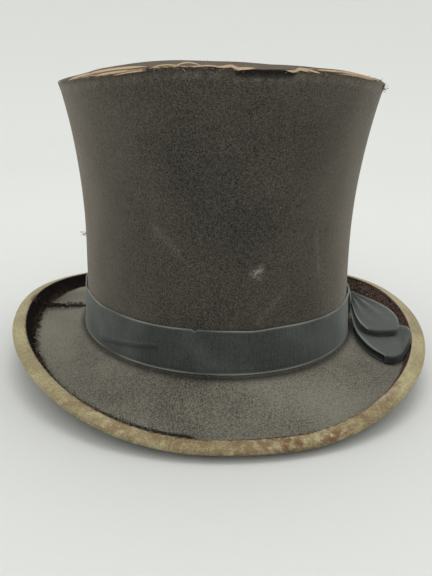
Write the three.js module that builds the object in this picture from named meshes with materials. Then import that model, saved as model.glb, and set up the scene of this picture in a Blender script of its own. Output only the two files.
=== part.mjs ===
// A worn silk-style top hat: a waisted crown, a brim curled up at the sides, a ribbon band with a
// collapsed side bow, and the leather and cloth fittings inside. Millimetres, +Z up, front at -Y.
// Z is 0 where the underside of the brim would touch a table, at the front and at the back.
import * as THREE from "three";

// How finely everything that goes round the head is divided. All rings share the same stations, so
// thin layers that lie on each other keep an even gap.
const STATIONS = 40;
const GAP = 0.3;

// Crown, measured on the outside of its cloth.
const BASE_Z = 22;
const SIDE_DIP = 2;
const SIDE_HEIGHT = 143;
const TIP_ARCH = 11.4;
const TIP_FLAT = 0.15;
const WAIST_HALF_WIDTH = 81.5;
const WAIST_AT = 0.36;
const TOP_FLARE = 12.4;
const BASE_FLARE = 2;
const OVAL_EXCESS = 17;

// Crown layers.
const COVER = 0.8;
const SHELL = 1.8;
const TIP_CLOTH = 0.7;
const TIP_SHELL = 1.8;
const SKIRT_DROP = 6;
const SKIRT = 1.4;
const TAPE = 0.7;
const TAPE_DROP = 1.8;
const TAPE_TOP_WIDTH = 3.2;
const TAPE_OVERHANG = 0.6;

// Brim, measured over its edge binding.
const BRIM_HALF_WIDTH = 127.3;
const BRIM_HALF_LENGTH = 148.5;
const BRIM_POWER = 2.15;
const FOOT_Z = 3.71;
const FOOT_RISE_SIDE = 12.6;
const LIP_WIDTH = 9;
const LIP_DROOP = 1.8;
const WALL_RUN = { side: 5, front: 3, back: 4 };
const WALL_HEIGHT = { side: 10, front: 3.7, back: 7.3 };
const BRIM_CLOTH = 0.6;
const BOARD = 1.5;
const UNDER_CLOTH = 0.6;
const BINDING = 0.7;
const COLLAR_WIDTH = 3.3;
const BRIM_GAP = 0.4;

// Ribbon band and its bow, on the wearer's left.
const RIBBON_WIDTH = 24;
const RIBBON = 0.7;
const KNOT_ANGLE = -8;

// Inside fittings.
const SWEATBAND_HEIGHT = 48;
const SWEATBAND = 0.8;
const LINING = 0.6;
const LINING_INSET = 5.3;
const REED_RADIUS = 1.1;

const clamp01 = (x) => Math.min(1, Math.max(0, x));
const mix = (a, b, s) => a + (b - a) * s;
const angleOf = (i) => (i / STATIONS) * 2 * Math.PI;

// 0 at the front and back of the hat, 1 at its sides, and level for a short way at both ends.
function sideness(angle) {
  const flat = Math.sin(Math.PI / 20);
  return Math.pow(clamp01((Math.abs(Math.cos(angle)) - flat) / (1 - flat)), 1.8);
}

// Blends a size given for the sides, the front and the back.
function roundTheBrim(size, angle) {
  const end = mix(size.front, size.back, clamp01(Math.sin(angle) * 0.5 + 0.5));
  return mix(end, size.side, sideness(angle));
}

function oval(halfWidth, halfLength, power, angle) {
  const c = Math.cos(angle);
  const s = Math.sin(angle);
  return [
    halfWidth * Math.sign(c) * Math.pow(Math.abs(c), 2 / power),
    halfLength * Math.sign(s) * Math.pow(Math.abs(s), 2 / power),
  ];
}

function crownHalfWidth(level) {
  const above = clamp01((level - WAIST_AT) / (1 - WAIST_AT));
  const below = clamp01((WAIST_AT - level) / WAIST_AT);
  return WAIST_HALF_WIDTH + TOP_FLARE * Math.pow(above, 2) + BASE_FLARE * Math.pow(below, 1.8);
}

// The tip is bent one way only, like a barrel lid, and is flat along its middle.
function tipBend(across) {
  return TIP_ARCH * (1 - Math.pow(clamp01((across - TIP_FLAT) / (1 - TIP_FLAT)), 2));
}

const baseZ = (angle) => BASE_Z - SIDE_DIP * Math.pow(Math.cos(angle), 2);
const tipEdgeZ = (angle) => BASE_Z + SIDE_HEIGHT + tipBend(Math.abs(Math.cos(angle)));

// A point of the crown wall: level runs from 0 at the brim to 1 at the tip's edge, inset is the
// distance in from the cloth's outer face, and lift is added to the height.
function wallPoint(angle, level, inset, lift = 0) {
  const low = baseZ(angle);
  const height = tipEdgeZ(angle) - low;
  const at = level + lift / height;
  const halfWidth = crownHalfWidth(clamp01(at));
  const [x, y] = oval(halfWidth - inset, halfWidth + OVAL_EXCESS - inset, 2, angle);
  return [x, y, low + height * at];
}

// A point of the tip: reach runs from 0 at the centre to 1 at the edge, inset shortens the edge.
function tipPoint(angle, reach, inset, depth) {
  const halfWidth = crownHalfWidth(1);
  const [x, y] = oval(
    reach * (halfWidth - inset),
    reach * (halfWidth + OVAL_EXCESS - inset),
    2,
    angle,
  );
  return [x, y, BASE_Z + SIDE_HEIGHT + tipBend(Math.abs(x) / halfWidth) - depth];
}

// Moves a line of [distance, height] points down by depth, square to the line.
function sunkLine(line, depth) {
  const direction = (a, b) => {
    const length = Math.hypot(b[0] - a[0], b[1] - a[1]);
    return [(b[0] - a[0]) / length, (b[1] - a[1]) / length];
  };
  return line.map((point, i) => {
    const before = direction(line[Math.max(i - 1, 0)], line[Math.max(i, 1)]);
    const last = line.length - 1;
    const after = direction(line[Math.min(i, last - 1)], line[Math.min(i + 1, last)]);
    const sum = [before[0] + after[0], before[1] + after[1]];
    const length = Math.hypot(sum[0], sum[1]);
    const mid = [sum[0] / length, sum[1] / length];
    const stretch = 1 / Math.max(0.5, mid[0] * after[0] + mid[1] * after[1]);
    return [point[0] - mid[1] * depth * stretch, point[1] + mid[0] * depth * stretch];
  });
}

// The brim's cross-section at one angle. Its line starts under the crown wall, falls to the foot,
// climbs the curl and turns out over the lip. Distances run inwards from the bound edge.
function brimSection(angle) {
  const base = oval(crownHalfWidth(0), crownHalfWidth(0) + OVAL_EXCESS, 2, angle);
  const edge = oval(BRIM_HALF_WIDTH, BRIM_HALF_LENGTH, BRIM_POWER, angle);
  const width = Math.hypot(edge[0] - base[0], edge[1] - base[1]);
  const out = [(edge[0] - base[0]) / width, (edge[1] - base[1]) / width];
  const run = roundTheBrim(WALL_RUN, angle);
  const rise = roundTheBrim(WALL_HEIGHT, angle);
  const foot = [LIP_WIDTH + run, FOOT_Z + FOOT_RISE_SIDE * sideness(angle)];
  const middle = [foot[0] - 0.5 * run, foot[1] + 0.38 * rise];
  const crest = [LIP_WIDTH, foot[1] + rise];
  const between = (a, b, s) => [mix(a[0], b[0], s), mix(a[1], b[1], s)];
  const shoulder = [width - 0.6, baseZ(angle)];
  const slopeEnd = [foot[0] + 2.2, foot[1] + 0.25];
  const slope = [0.3, 0.6, 0.82].map((s) => [
    mix(shoulder[0], slopeEnd[0], s),
    mix(slopeEnd[1], shoulder[1], Math.pow(1 - s, 1.25)),
  ]);
  const line = [
    [width + COLLAR_WIDTH, baseZ(angle)],
    shoulder,
    ...slope,
    slopeEnd,
    foot,
    between(foot, middle, 0.3),
    between(foot, middle, 0.55),
    middle,
    between(middle, crest, 0.42),
    between(middle, crest, 0.58),
    crest,
    [0.5 * LIP_WIDTH, crest[1] - 0.35 * LIP_DROOP],
    [1.2, crest[1] - LIP_DROOP],
  ];
  const place = ([inward, z]) => [edge[0] - out[0] * inward, edge[1] - out[1] * inward, z];
  return { base, edge, line, place };
}

// Numbers of the points of a brim section where its pieces begin and end.
const CLOTH_END = 7;
const FACING_START = 8;
const WALL_MIDDLE = 9;
const FACING_END = 10;
const BINDING_START = 11;
const CREST = 12;
const LIP_END = 14;

// Height of the brim's upper face under a point of the plan, found by turning the angle until the
// section's line passes through the point.
function brimTopAt(x, y) {
  let low = Math.atan2(y / BRIM_HALF_LENGTH, x / BRIM_HALF_WIDTH) - 0.4;
  let high = low + 0.8;
  const side = (angle) => {
    const { base, edge } = brimSection(angle);
    return (edge[0] - base[0]) * (y - base[1]) - (edge[1] - base[1]) * (x - base[0]);
  };
  for (let i = 0; i < 30; i++) {
    const middle = (low + high) / 2;
    if (side(middle) > 0) low = middle;
    else high = middle;
  }
  const { edge, line } = brimSection(low);
  const inward = Math.hypot(edge[0] - x, edge[1] - y);
  const i = line.findIndex((point, k) => k > 0 && point[0] <= inward);
  const [a, b] = [line[i - 1], line[i]];
  return mix(a[1], b[1], (a[0] - inward) / (a[0] - b[0]));
}

// Builds a mesh from points and triangles, and turns its faces outwards.
function solid(name, points, triangles, colour, roughness) {
  let volume = 0;
  const corner = (i) => new THREE.Vector3(...points[i]);
  for (const [a, b, c] of triangles) {
    volume += corner(a).dot(corner(b).cross(corner(c)));
  }
  const faces = volume < 0 ? triangles.map(([a, b, c]) => [a, c, b]) : triangles;
  const geometry = new THREE.BufferGeometry();
  geometry.setAttribute("position", new THREE.Float32BufferAttribute(points.flat(), 3));
  geometry.setIndex(faces.flat());
  geometry.computeVertexNormals();
  const material = new THREE.MeshStandardMaterial({ color: colour, roughness });
  const mesh = new THREE.Mesh(geometry, material);
  mesh.name = name;
  return mesh;
}

// A closed ring: sectionAt(angle) gives the same number of points, in order round the section.
function ring(name, sectionAt, colour, roughness) {
  const points = [];
  const triangles = [];
  const count = sectionAt(0).length;
  for (let i = 0; i < STATIONS; i++) {
    points.push(...sectionAt(angleOf(i)));
    const here = i * count;
    const next = ((i + 1) % STATIONS) * count;
    for (let j = 0; j < count; j++) {
      const k = (j + 1) % count;
      triangles.push([here + j, next + j, next + k], [here + j, next + k, here + k]);
    }
  }
  return solid(name, points, triangles, colour, roughness);
}

// A closed lid: sectionAt(angle) runs from near the top centre round the edge to near the bottom
// centre, and the two centres are added on the axis.
function lid(name, sectionAt, topZ, bottomZ, colour, roughness) {
  const points = [
    [0, 0, topZ],
    [0, 0, bottomZ],
  ];
  const triangles = [];
  const count = sectionAt(0).length;
  for (let i = 0; i < STATIONS; i++) {
    points.push(...sectionAt(angleOf(i)));
    const here = 2 + i * count;
    const next = 2 + ((i + 1) % STATIONS) * count;
    triangles.push([0, next, here], [1, here + count - 1, next + count - 1]);
    for (let j = 0; j + 1 < count; j++) {
      triangles.push([here + j, next + j, next + j + 1], [here + j, next + j + 1, here + j + 1]);
    }
  }
  return solid(name, points, triangles, colour, roughness);
}

// A strip of cloth: rows of points along its middle surface, thickened square to that surface.
function strip(name, rows, thickness, colour, roughness) {
  const across = rows[0].length;
  const at = (i, j) => {
    const row = rows[Math.min(Math.max(i, 0), rows.length - 1)];
    return new THREE.Vector3(...row[Math.min(Math.max(j, 0), across - 1)]);
  };
  const points = [];
  for (const sign of [1, -1]) {
    rows.forEach((row, i) =>
      row.forEach((point, j) => {
        const along = at(i + 1, j).sub(at(i - 1, j));
        const over = at(i, j + 1).sub(at(i, j - 1));
        const normal = along.cross(over).normalize();
        points.push(at(i, j).addScaledVector(normal, (sign * thickness) / 2).toArray());
      }),
    );
  }
  const front = (i, j) => i * across + j;
  const back = (i, j) => rows.length * across + front(i, j);
  const triangles = [];
  const quad = (a, b, c, d) => triangles.push([a, b, c], [a, c, d]);
  for (let i = 0; i + 1 < rows.length; i++) {
    for (let j = 0; j + 1 < across; j++) {
      quad(front(i, j), front(i + 1, j), front(i + 1, j + 1), front(i, j + 1));
      quad(back(i, j), back(i, j + 1), back(i + 1, j + 1), back(i + 1, j));
    }
    quad(front(i, 0), back(i, 0), back(i + 1, 0), front(i + 1, 0));
    quad(
      front(i + 1, across - 1),
      back(i + 1, across - 1),
      back(i, across - 1),
      front(i, across - 1),
    );
  }
  const end = rows.length - 1;
  for (let j = 0; j + 1 < across; j++) {
    quad(front(0, j), front(0, j + 1), back(0, j + 1), back(0, j));
    quad(front(end, j), back(end, j), back(end, j + 1), front(end, j + 1));
  }
  return solid(name, points, triangles, colour, roughness);
}

// A layer of the crown wall between two insets.
function wallLayer(name, rows, thickness, colour, roughness) {
  return ring(
    name,
    (angle) => [
      ...rows.map(([level, inset, lift]) => wallPoint(angle, level, inset, lift)),
      ...rows.map(([level, inset, lift]) => wallPoint(angle, level, inset + thickness, lift)).reverse(),
    ],
    colour,
    roughness,
  );
}

// A layer of the brim between two depths, made of the numbered points of the section.
function brimLayer(name, numbers, top, thickness, colour, roughness) {
  return ring(
    name,
    (angle) => {
      const { line, place } = brimSection(angle);
      const upper = sunkLine(line, top);
      const lower = sunkLine(line, top + thickness);
      return [
        ...numbers.map((n) => place(upper[n])),
        ...numbers.map((n) => place(lower[n])).reverse(),
      ];
    },
    colour,
    roughness,
  );
}

const numbersTo = (last) => Array.from({ length: last + 1 }, (_, n) => n);

function sideShell() {
  const outer = COVER + GAP;
  const tucked = COVER + SKIRT + 2 * GAP + 0.3;
  const rows = [
    [0, outer, GAP],
    [0.09, outer, 0],
    [0.19, outer, 0],
    [0.31, outer, 0],
    [0.48, outer, 0],
    [0.65, outer, 0],
    [0.8, outer, 0],
    [1, outer, -SKIRT_DROP - 3],
    [1, tucked, -SKIRT_DROP - 1],
    [1, tucked, -TIP_CLOTH - TIP_SHELL - 2 * GAP],
  ];
  return wallLayer("side_shell", rows, SHELL, 0xc2b08a, 0.9);
}

function sideCover() {
  const rows = [
    [0, 0, GAP],
    [0.09, 0, 0],
    [0.19, 0, 0],
    [0.31, 0, 0],
    [0.48, 0, 0],
    [0.65, 0, 0],
    [0.8, 0, 0],
    [1, 0, -SKIRT_DROP - 3],
    [1, 0, -TAPE_DROP - GAP],
  ];
  return wallLayer("side_cover", rows, COVER, 0x3e3a36, 0.95);
}

const TIP_RINGS = [TIP_FLAT, 0.42, 0.7, 0.88];

// The tip board is a shallow lid whose skirt fits over the top of the wall.
function tipShell() {
  const top = TIP_CLOTH + GAP;
  const bottom = top + TIP_SHELL;
  const outer = COVER + GAP;
  const inner = outer + SKIRT;
  const highest = BASE_Z + SIDE_HEIGHT + TIP_ARCH;
  return lid(
    "tip_shell",
    (angle) => [
      ...TIP_RINGS.map((reach) => tipPoint(angle, reach, outer, top)),
      tipPoint(angle, 1, outer, top),
      wallPoint(angle, 1, outer, -SKIRT_DROP),
      wallPoint(angle, 1, inner, -SKIRT_DROP),
      tipPoint(angle, 1, inner, bottom),
      ...[...TIP_RINGS].reverse().map((reach) => tipPoint(angle, reach, outer, bottom)),
    ],
    highest - top,
    highest - bottom,
    0xc2b08a,
    0.9,
  );
}

function tipCover() {
  const inset = TAPE_TOP_WIDTH + GAP;
  const highest = BASE_Z + SIDE_HEIGHT + TIP_ARCH;
  return lid(
    "tip_cover",
    (angle) => [
      ...TIP_RINGS.map((reach) => tipPoint(angle, reach, inset, 0)),
      tipPoint(angle, 1, inset, 0),
      tipPoint(angle, 1, inset, TIP_CLOTH),
      ...[...TIP_RINGS].reverse().map((reach) => tipPoint(angle, reach, inset, TIP_CLOTH)),
    ],
    highest,
    highest - TIP_CLOTH,
    0x4a4540,
    0.95,
  );
}

// The tape turned over the tip's edge, which shows where the cloth has worn through.
function tipEdgeTape() {
  return ring(
    "tip_edge_tape",
    (angle) => [
      tipPoint(angle, 1, TAPE_TOP_WIDTH, 0),
      tipPoint(angle, 1, 0, 0),
      wallPoint(angle, 1, -TAPE_OVERHANG, -0.5),
      wallPoint(angle, 1, -TAPE_OVERHANG, -TAPE_DROP + 0.5),
      wallPoint(angle, 1, 0, -TAPE_DROP),
      wallPoint(angle, 1, TAPE, -TAPE_DROP),
      tipPoint(angle, 1, TAPE, TAPE),
      tipPoint(angle, 1, TAPE_TOP_WIDTH, TAPE),
    ],
    0xb9a47c,
    0.9,
  );
}

function brimBoard() {
  const numbers = [...numbersTo(6), WALL_MIDDLE, CREST, CREST + 1, LIP_END];
  return brimLayer("brim_board", numbers, BRIM_CLOTH + BRIM_GAP, BOARD, 0xb7a680, 0.9);
}

function brimTopCloth() {
  return brimLayer("brim_top_cloth", numbersTo(CLOTH_END), 0, BRIM_CLOTH, 0x5d5751, 0.95);
}

function curlFacing() {
  const numbers = [FACING_START, WALL_MIDDLE, FACING_END];
  return brimLayer("curl_facing", numbers, 0, BRIM_CLOTH, 0x2e2320, 0.95);
}

function brimUnderCloth() {
  const top = BRIM_CLOTH + BOARD + 2 * BRIM_GAP;
  const numbers = [...numbersTo(6), WALL_MIDDLE];
  return brimLayer("brim_under_cloth", numbers, top, UNDER_CLOTH, 0x35312e, 0.95);
}

// The ribbon folded over the brim's edge, open towards the crown.
function brimBinding() {
  const under = BRIM_CLOTH + BOARD + 2 * BRIM_GAP;
  return ring(
    "brim_binding",
    (angle) => {
      const { line, place } = brimSection(angle);
      const skins = [0, BINDING, under, under + BINDING].map((depth) => sunkLine(line, depth));
      const nose = (distance) => {
        const a = skins[0][LIP_END];
        const b = skins[3][LIP_END];
        return place([distance, (a[1] + b[1]) / 2]);
      };
      return [
        ...[BINDING_START, CREST, CREST + 1, LIP_END].map((n) => place(skins[0][n])),
        nose(0),
        ...[LIP_END, CREST + 1, CREST].map((n) => place(skins[3][n])),
        ...[CREST, CREST + 1, LIP_END].map((n) => place(skins[2][n])),
        nose(BINDING),
        ...[LIP_END, CREST + 1, CREST, BINDING_START].map((n) => place(skins[1][n])),
      ];
    },
    0x8d8162,
    0.85,
  );
}

function hatBand() {
  const rows = [
    [0, -RIBBON - GAP, 0.8],
    [0, -RIBBON - GAP, 0.35 * RIBBON_WIDTH],
    [0, -RIBBON - GAP, 0.7 * RIBBON_WIDTH],
    [0, -RIBBON - GAP, RIBBON_WIDTH + 0.8],
  ];
  return wallLayer("hat_band", rows, RIBBON, 0x23292b, 0.6);
}

// A ribbon loop fallen on the brim: its upper leaf runs out from the knot, folds at the far end and
// comes back underneath. Heights are above the brim's upper face.
function bowLoop(name, { start, end, halfWidth, gathered, lift, opening, height }) {
  const rows = [];
  const leaf = (s, upper) => {
    const tipRound = Math.sqrt(Math.max(0.1, 1 - Math.pow(clamp01((s - 0.62) / 0.38), 2.4)));
    const half = Math.min(mix(gathered, halfWidth, Math.min(1, s / 0.4)), halfWidth * tipRound);
    const x = mix(start[0], end[0], s) + 4 * Math.sin(Math.PI * s);
    const y = mix(start[1], end[1], s);
    const rise = height + lift * Math.pow(1 - s, 2.2) + (upper ? opening * (1 - 0.45 * s) : 0);
    return [-1, -0.5, 0, 0.5, 1].map((q) => {
      const px = x + q * half;
      return [px, y, brimTopAt(px, y) + rise + (upper ? 1 - q * q : 0)];
    });
  };
  for (const s of [0.06, 0.2, 0.34, 0.48, 0.62, 0.74, 0.84, 0.92, 0.97]) rows.push(leaf(s, true));
  const tip = leaf(1, true).map((p, i) => {
    const low = leaf(1, false)[i];
    return [p[0], p[1] - 1.2, (p[2] + low[2]) / 2];
  });
  rows.push(tip);
  for (const s of [0.97, 0.92, 0.84, 0.74, 0.62, 0.48]) rows.push(leaf(s, false));
  return strip(name, rows, RIBBON, 0x262c2e, 0.6);
}

function bowLowerLoop() {
  return bowLoop("bow_lower_loop", {
    start: [91, -31],
    end: [84, -78],
    halfWidth: 15.5,
    gathered: 4,
    lift: 5,
    opening: 2.6,
    height: 0.8,
  });
}

function bowUpperLoop() {
  return bowLoop("bow_upper_loop", {
    start: [93, -25],
    end: [87, -63],
    halfWidth: 12.5,
    gathered: 4,
    lift: 11,
    opening: 2.4,
    height: 8.2,
  });
}

// The short crosspiece that gathers the bow against the band.
function bowKnot() {
  const centre = (KNOT_ANGLE * Math.PI) / 180;
  const rows = [-1, -0.6, -0.2, 0.2, 0.6, 1].map((v) => {
    const bulge = 2.2 * (1 - v * v);
    return [-1, 0, 1].map((u) => {
      const inset = -2 * GAP - RIBBON - 0.7 - bulge;
      return wallPoint(centre + u * 0.06, 0, inset, 12.5 + v * 11);
    });
  });
  return strip("bow_knot", rows, 1, 0x262c2e, 0.6);
}

function sweatband() {
  const rows = [
    [0, 3.9, -3],
    [0, 4.1, 14],
    [0, 6.2, 33],
    [0, 6.2, SWEATBAND_HEIGHT],
  ];
  return wallLayer("sweatband", rows, SWEATBAND, 0x6d4526, 0.55);
}

// The cord stitched into the leather's lower edge.
function sweatbandReed() {
  return ring(
    "sweatband_reed",
    (angle) =>
      [0, 1, 2, 3, 4, 5].map((k) => {
        const turn = (k / 6) * 2 * Math.PI;
        const inset = 4.4 + REED_RADIUS * Math.cos(turn);
        return wallPoint(angle, 0, inset, -3 - GAP - REED_RADIUS + REED_RADIUS * Math.sin(turn));
      }),
    0x5a3a20,
    0.6,
  );
}

function sideLining() {
  const rows = [
    [0, LINING_INSET, 38],
    [0.48, LINING_INSET, 0],
    [0.65, LINING_INSET, 0],
    [0.8, LINING_INSET, 0],
    [1, LINING_INSET, -SKIRT_DROP - 3],
    [1, LINING_INSET, -4.8],
  ];
  return wallLayer("side_lining", rows, LINING, 0xd8cdb4, 0.7);
}

function tipLining() {
  const top = TIP_CLOTH + TIP_SHELL + 2.6 * GAP;
  const bottom = top + LINING;
  const highest = BASE_Z + SIDE_HEIGHT + TIP_ARCH;
  return lid(
    "tip_lining",
    (angle) => [
      ...TIP_RINGS.map((reach) => tipPoint(angle, reach, LINING_INSET + 1.3, top)),
      tipPoint(angle, 1, LINING_INSET + 1.3, top),
      tipPoint(angle, 1, LINING_INSET + 1.3, bottom),
      ...[...TIP_RINGS].reverse().map((reach) => tipPoint(angle, reach, LINING_INSET + 1.3, bottom)),
    ],
    highest - top,
    highest - bottom,
    0xe0d6be,
    0.7,
  );
}

// A flat bow of narrow ribbon sewn to the leather at the back of the head.
function sweatbandBow() {
  const rows = [-1, -0.7, -0.35, 0, 0.35, 0.7, 1].map((v) => {
    const half = 1.4 + 3.2 * Math.abs(Math.sin(v * 1.9));
    return [-1, 0, 1].map((u) => wallPoint(Math.PI / 2 + v * 0.15, 0, 5.7, 10 + u * half));
  });
  return strip("sweatband_bow", rows, 0.6, 0x1e2224, 0.6);
}

// A blank paper ticket tucked against the lining.
function sizeTicket() {
  const rows = [-1, 0, 1].map((v) =>
    [-1, 0, 1].map((u) => wallPoint(Math.PI / 2 + 0.55 + v * 0.07, 0, 8, 36 + u * 8)),
  );
  return strip("size_ticket", rows, 0.4, 0xe6dcc2, 0.9);
}

const topHat = new THREE.Group();
topHat.name = "top_hat";
topHat.add(
  sideShell(),
  sideCover(),
  tipShell(),
  tipCover(),
  tipEdgeTape(),
  brimBoard(),
  brimTopCloth(),
  curlFacing(),
  brimUnderCloth(),
  brimBinding(),
  hatBand(),
  bowLowerLoop(),
  bowUpperLoop(),
  bowKnot(),
  sweatband(),
  sweatbandReed(),
  sweatbandBow(),
  sideLining(),
  tipLining(),
  sizeTicket(),
);

export default topHat;
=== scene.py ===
"""A worn, stiffened-cloth top hat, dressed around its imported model.

The hat's walls, tip and brim are formulas in one class, HatForm. Each sub-assembly asks it for points,
so cloth, board, binding and lining follow the same dents and waves. Metres, +Z up, front at -Y.
"""
import logging
import math
from dataclasses import dataclass, field
from enum import Enum
from typing import Any, Sequence

import bpy
import numpy as np
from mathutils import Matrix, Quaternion, Vector


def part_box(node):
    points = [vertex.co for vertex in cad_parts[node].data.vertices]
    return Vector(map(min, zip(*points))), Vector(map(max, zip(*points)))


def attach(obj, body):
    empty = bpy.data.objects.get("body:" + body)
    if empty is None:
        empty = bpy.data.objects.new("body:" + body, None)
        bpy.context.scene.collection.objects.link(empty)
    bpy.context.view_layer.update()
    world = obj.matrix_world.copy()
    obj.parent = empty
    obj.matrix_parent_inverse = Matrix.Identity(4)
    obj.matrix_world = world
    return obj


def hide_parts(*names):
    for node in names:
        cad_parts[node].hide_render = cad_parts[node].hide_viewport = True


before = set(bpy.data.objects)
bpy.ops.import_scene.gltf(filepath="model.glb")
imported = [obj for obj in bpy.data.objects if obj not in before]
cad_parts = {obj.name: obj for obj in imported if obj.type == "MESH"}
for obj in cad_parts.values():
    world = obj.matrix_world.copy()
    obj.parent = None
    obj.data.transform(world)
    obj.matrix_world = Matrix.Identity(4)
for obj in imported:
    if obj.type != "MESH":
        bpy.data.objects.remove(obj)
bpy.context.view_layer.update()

LOG = logging.getLogger("top_hat")
MM = 0.001
TURN = 2 * math.pi
BODY = "root"

Array = np.ndarray
Colour = tuple[float, float, float]
Socket = bpy.types.NodeSocket
Tree = bpy.types.NodeTree
Piece = bpy.types.Object

LIP = 14.0  # the lip's end on the brim's section, which starts at 0 under the crown
# Colours of painted shade; the first also draws one small dark spot on the crown's cloth.
PAINTED_SHADE_AND_SPOT: Colour = (0.006, 0.005, 0.005)
PAINTED_SHADE_BLACK: Colour = (0.01, 0.01, 0.01)


# -------- small helpers

def rgba(colour: Colour) -> tuple[float, float, float, float]:
    """Adds a full alpha to a colour."""
    return (*colour, 1.0)


def clamp01(values: Any) -> Any:
    """Keeps values between 0 and 1."""
    return np.clip(values, 0.0, 1.0)


def mix(start: Any, end: Any, share: Any) -> Any:
    """Goes from start at share 0 to end at share 1."""
    return start + (end - start) * share


def ease(values: Any, low: float, high: float) -> Any:
    """Rises smoothly from 0 at low to 1 at high."""
    t = clamp01((values - low) / (high - low))
    return t * t * (3 - 2 * t)


def turned(angle: Any, centre: float) -> Any:
    """Distance of an angle from a centre, in radians, between -pi and pi."""
    return (angle - centre + math.pi) % TURN - math.pi


def off_from(angle: Any, centre: float) -> Any:
    """Distance in radians of an angle from a centre given in degrees."""
    return turned(angle, math.radians(centre))


def bell(offset: Any, width: float) -> Any:
    """1 at no offset, falling smoothly to 0 over a width."""
    return np.exp(-((offset / width) ** 2))


def pair(x: Any, y: Any) -> Array:
    """Points from their two coordinates."""
    return np.stack([x, y], -1)


def window(angle: Any, start: float, end: float, soft: float) -> Any:
    """1 between two angles in degrees, falling to 0 over a soft margin in degrees."""
    middle = math.radians((start + end) / 2)
    half = math.radians(abs(end - start) / 2)
    off = np.abs(turned(angle, middle)) - half
    return 1 - ease(off, 0.0, math.radians(soft))


@dataclass(frozen=True)
class Waves:
    """A smooth seeded field over angle and height that closes on itself round the hat.

    Attributes:
        seed: The field's seed.
        slowest: Fewest waves round the hat.
        fastest: Most waves round the hat.
        rise: Most waves from the bottom to the top.
        count: How many waves are added.
    """

    seed: int
    slowest: int = 2
    fastest: int = 9
    rise: float = 2.0
    count: int = 12

    def __call__(self, angle: Any, height: Any) -> Any:
        """Returns the field, about -1 to 1.

        Args:
            angle: Angles round the hat, in radians.
            height: Heights, 0 to 1.

        Returns:
            An array of the arguments' common shape.
        """
        draw = np.random.default_rng(self.seed)
        total = 0.0
        for _ in range(self.count):
            around = int(draw.integers(self.slowest, self.fastest + 1))
            climb = draw.uniform(-self.rise, self.rise) * math.pi
            phase = draw.uniform(0, TURN)
            total = total + np.sin(around * angle + climb * height + phase)
        return total / math.sqrt(self.count)


def linked(name: str, data: Any) -> Piece:
    """Makes an object at the origin and links it into the scene."""
    made = bpy.data.objects.new(name, data)
    bpy.context.scene.collection.objects.link(made)
    return made


# -------- meshes

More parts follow.
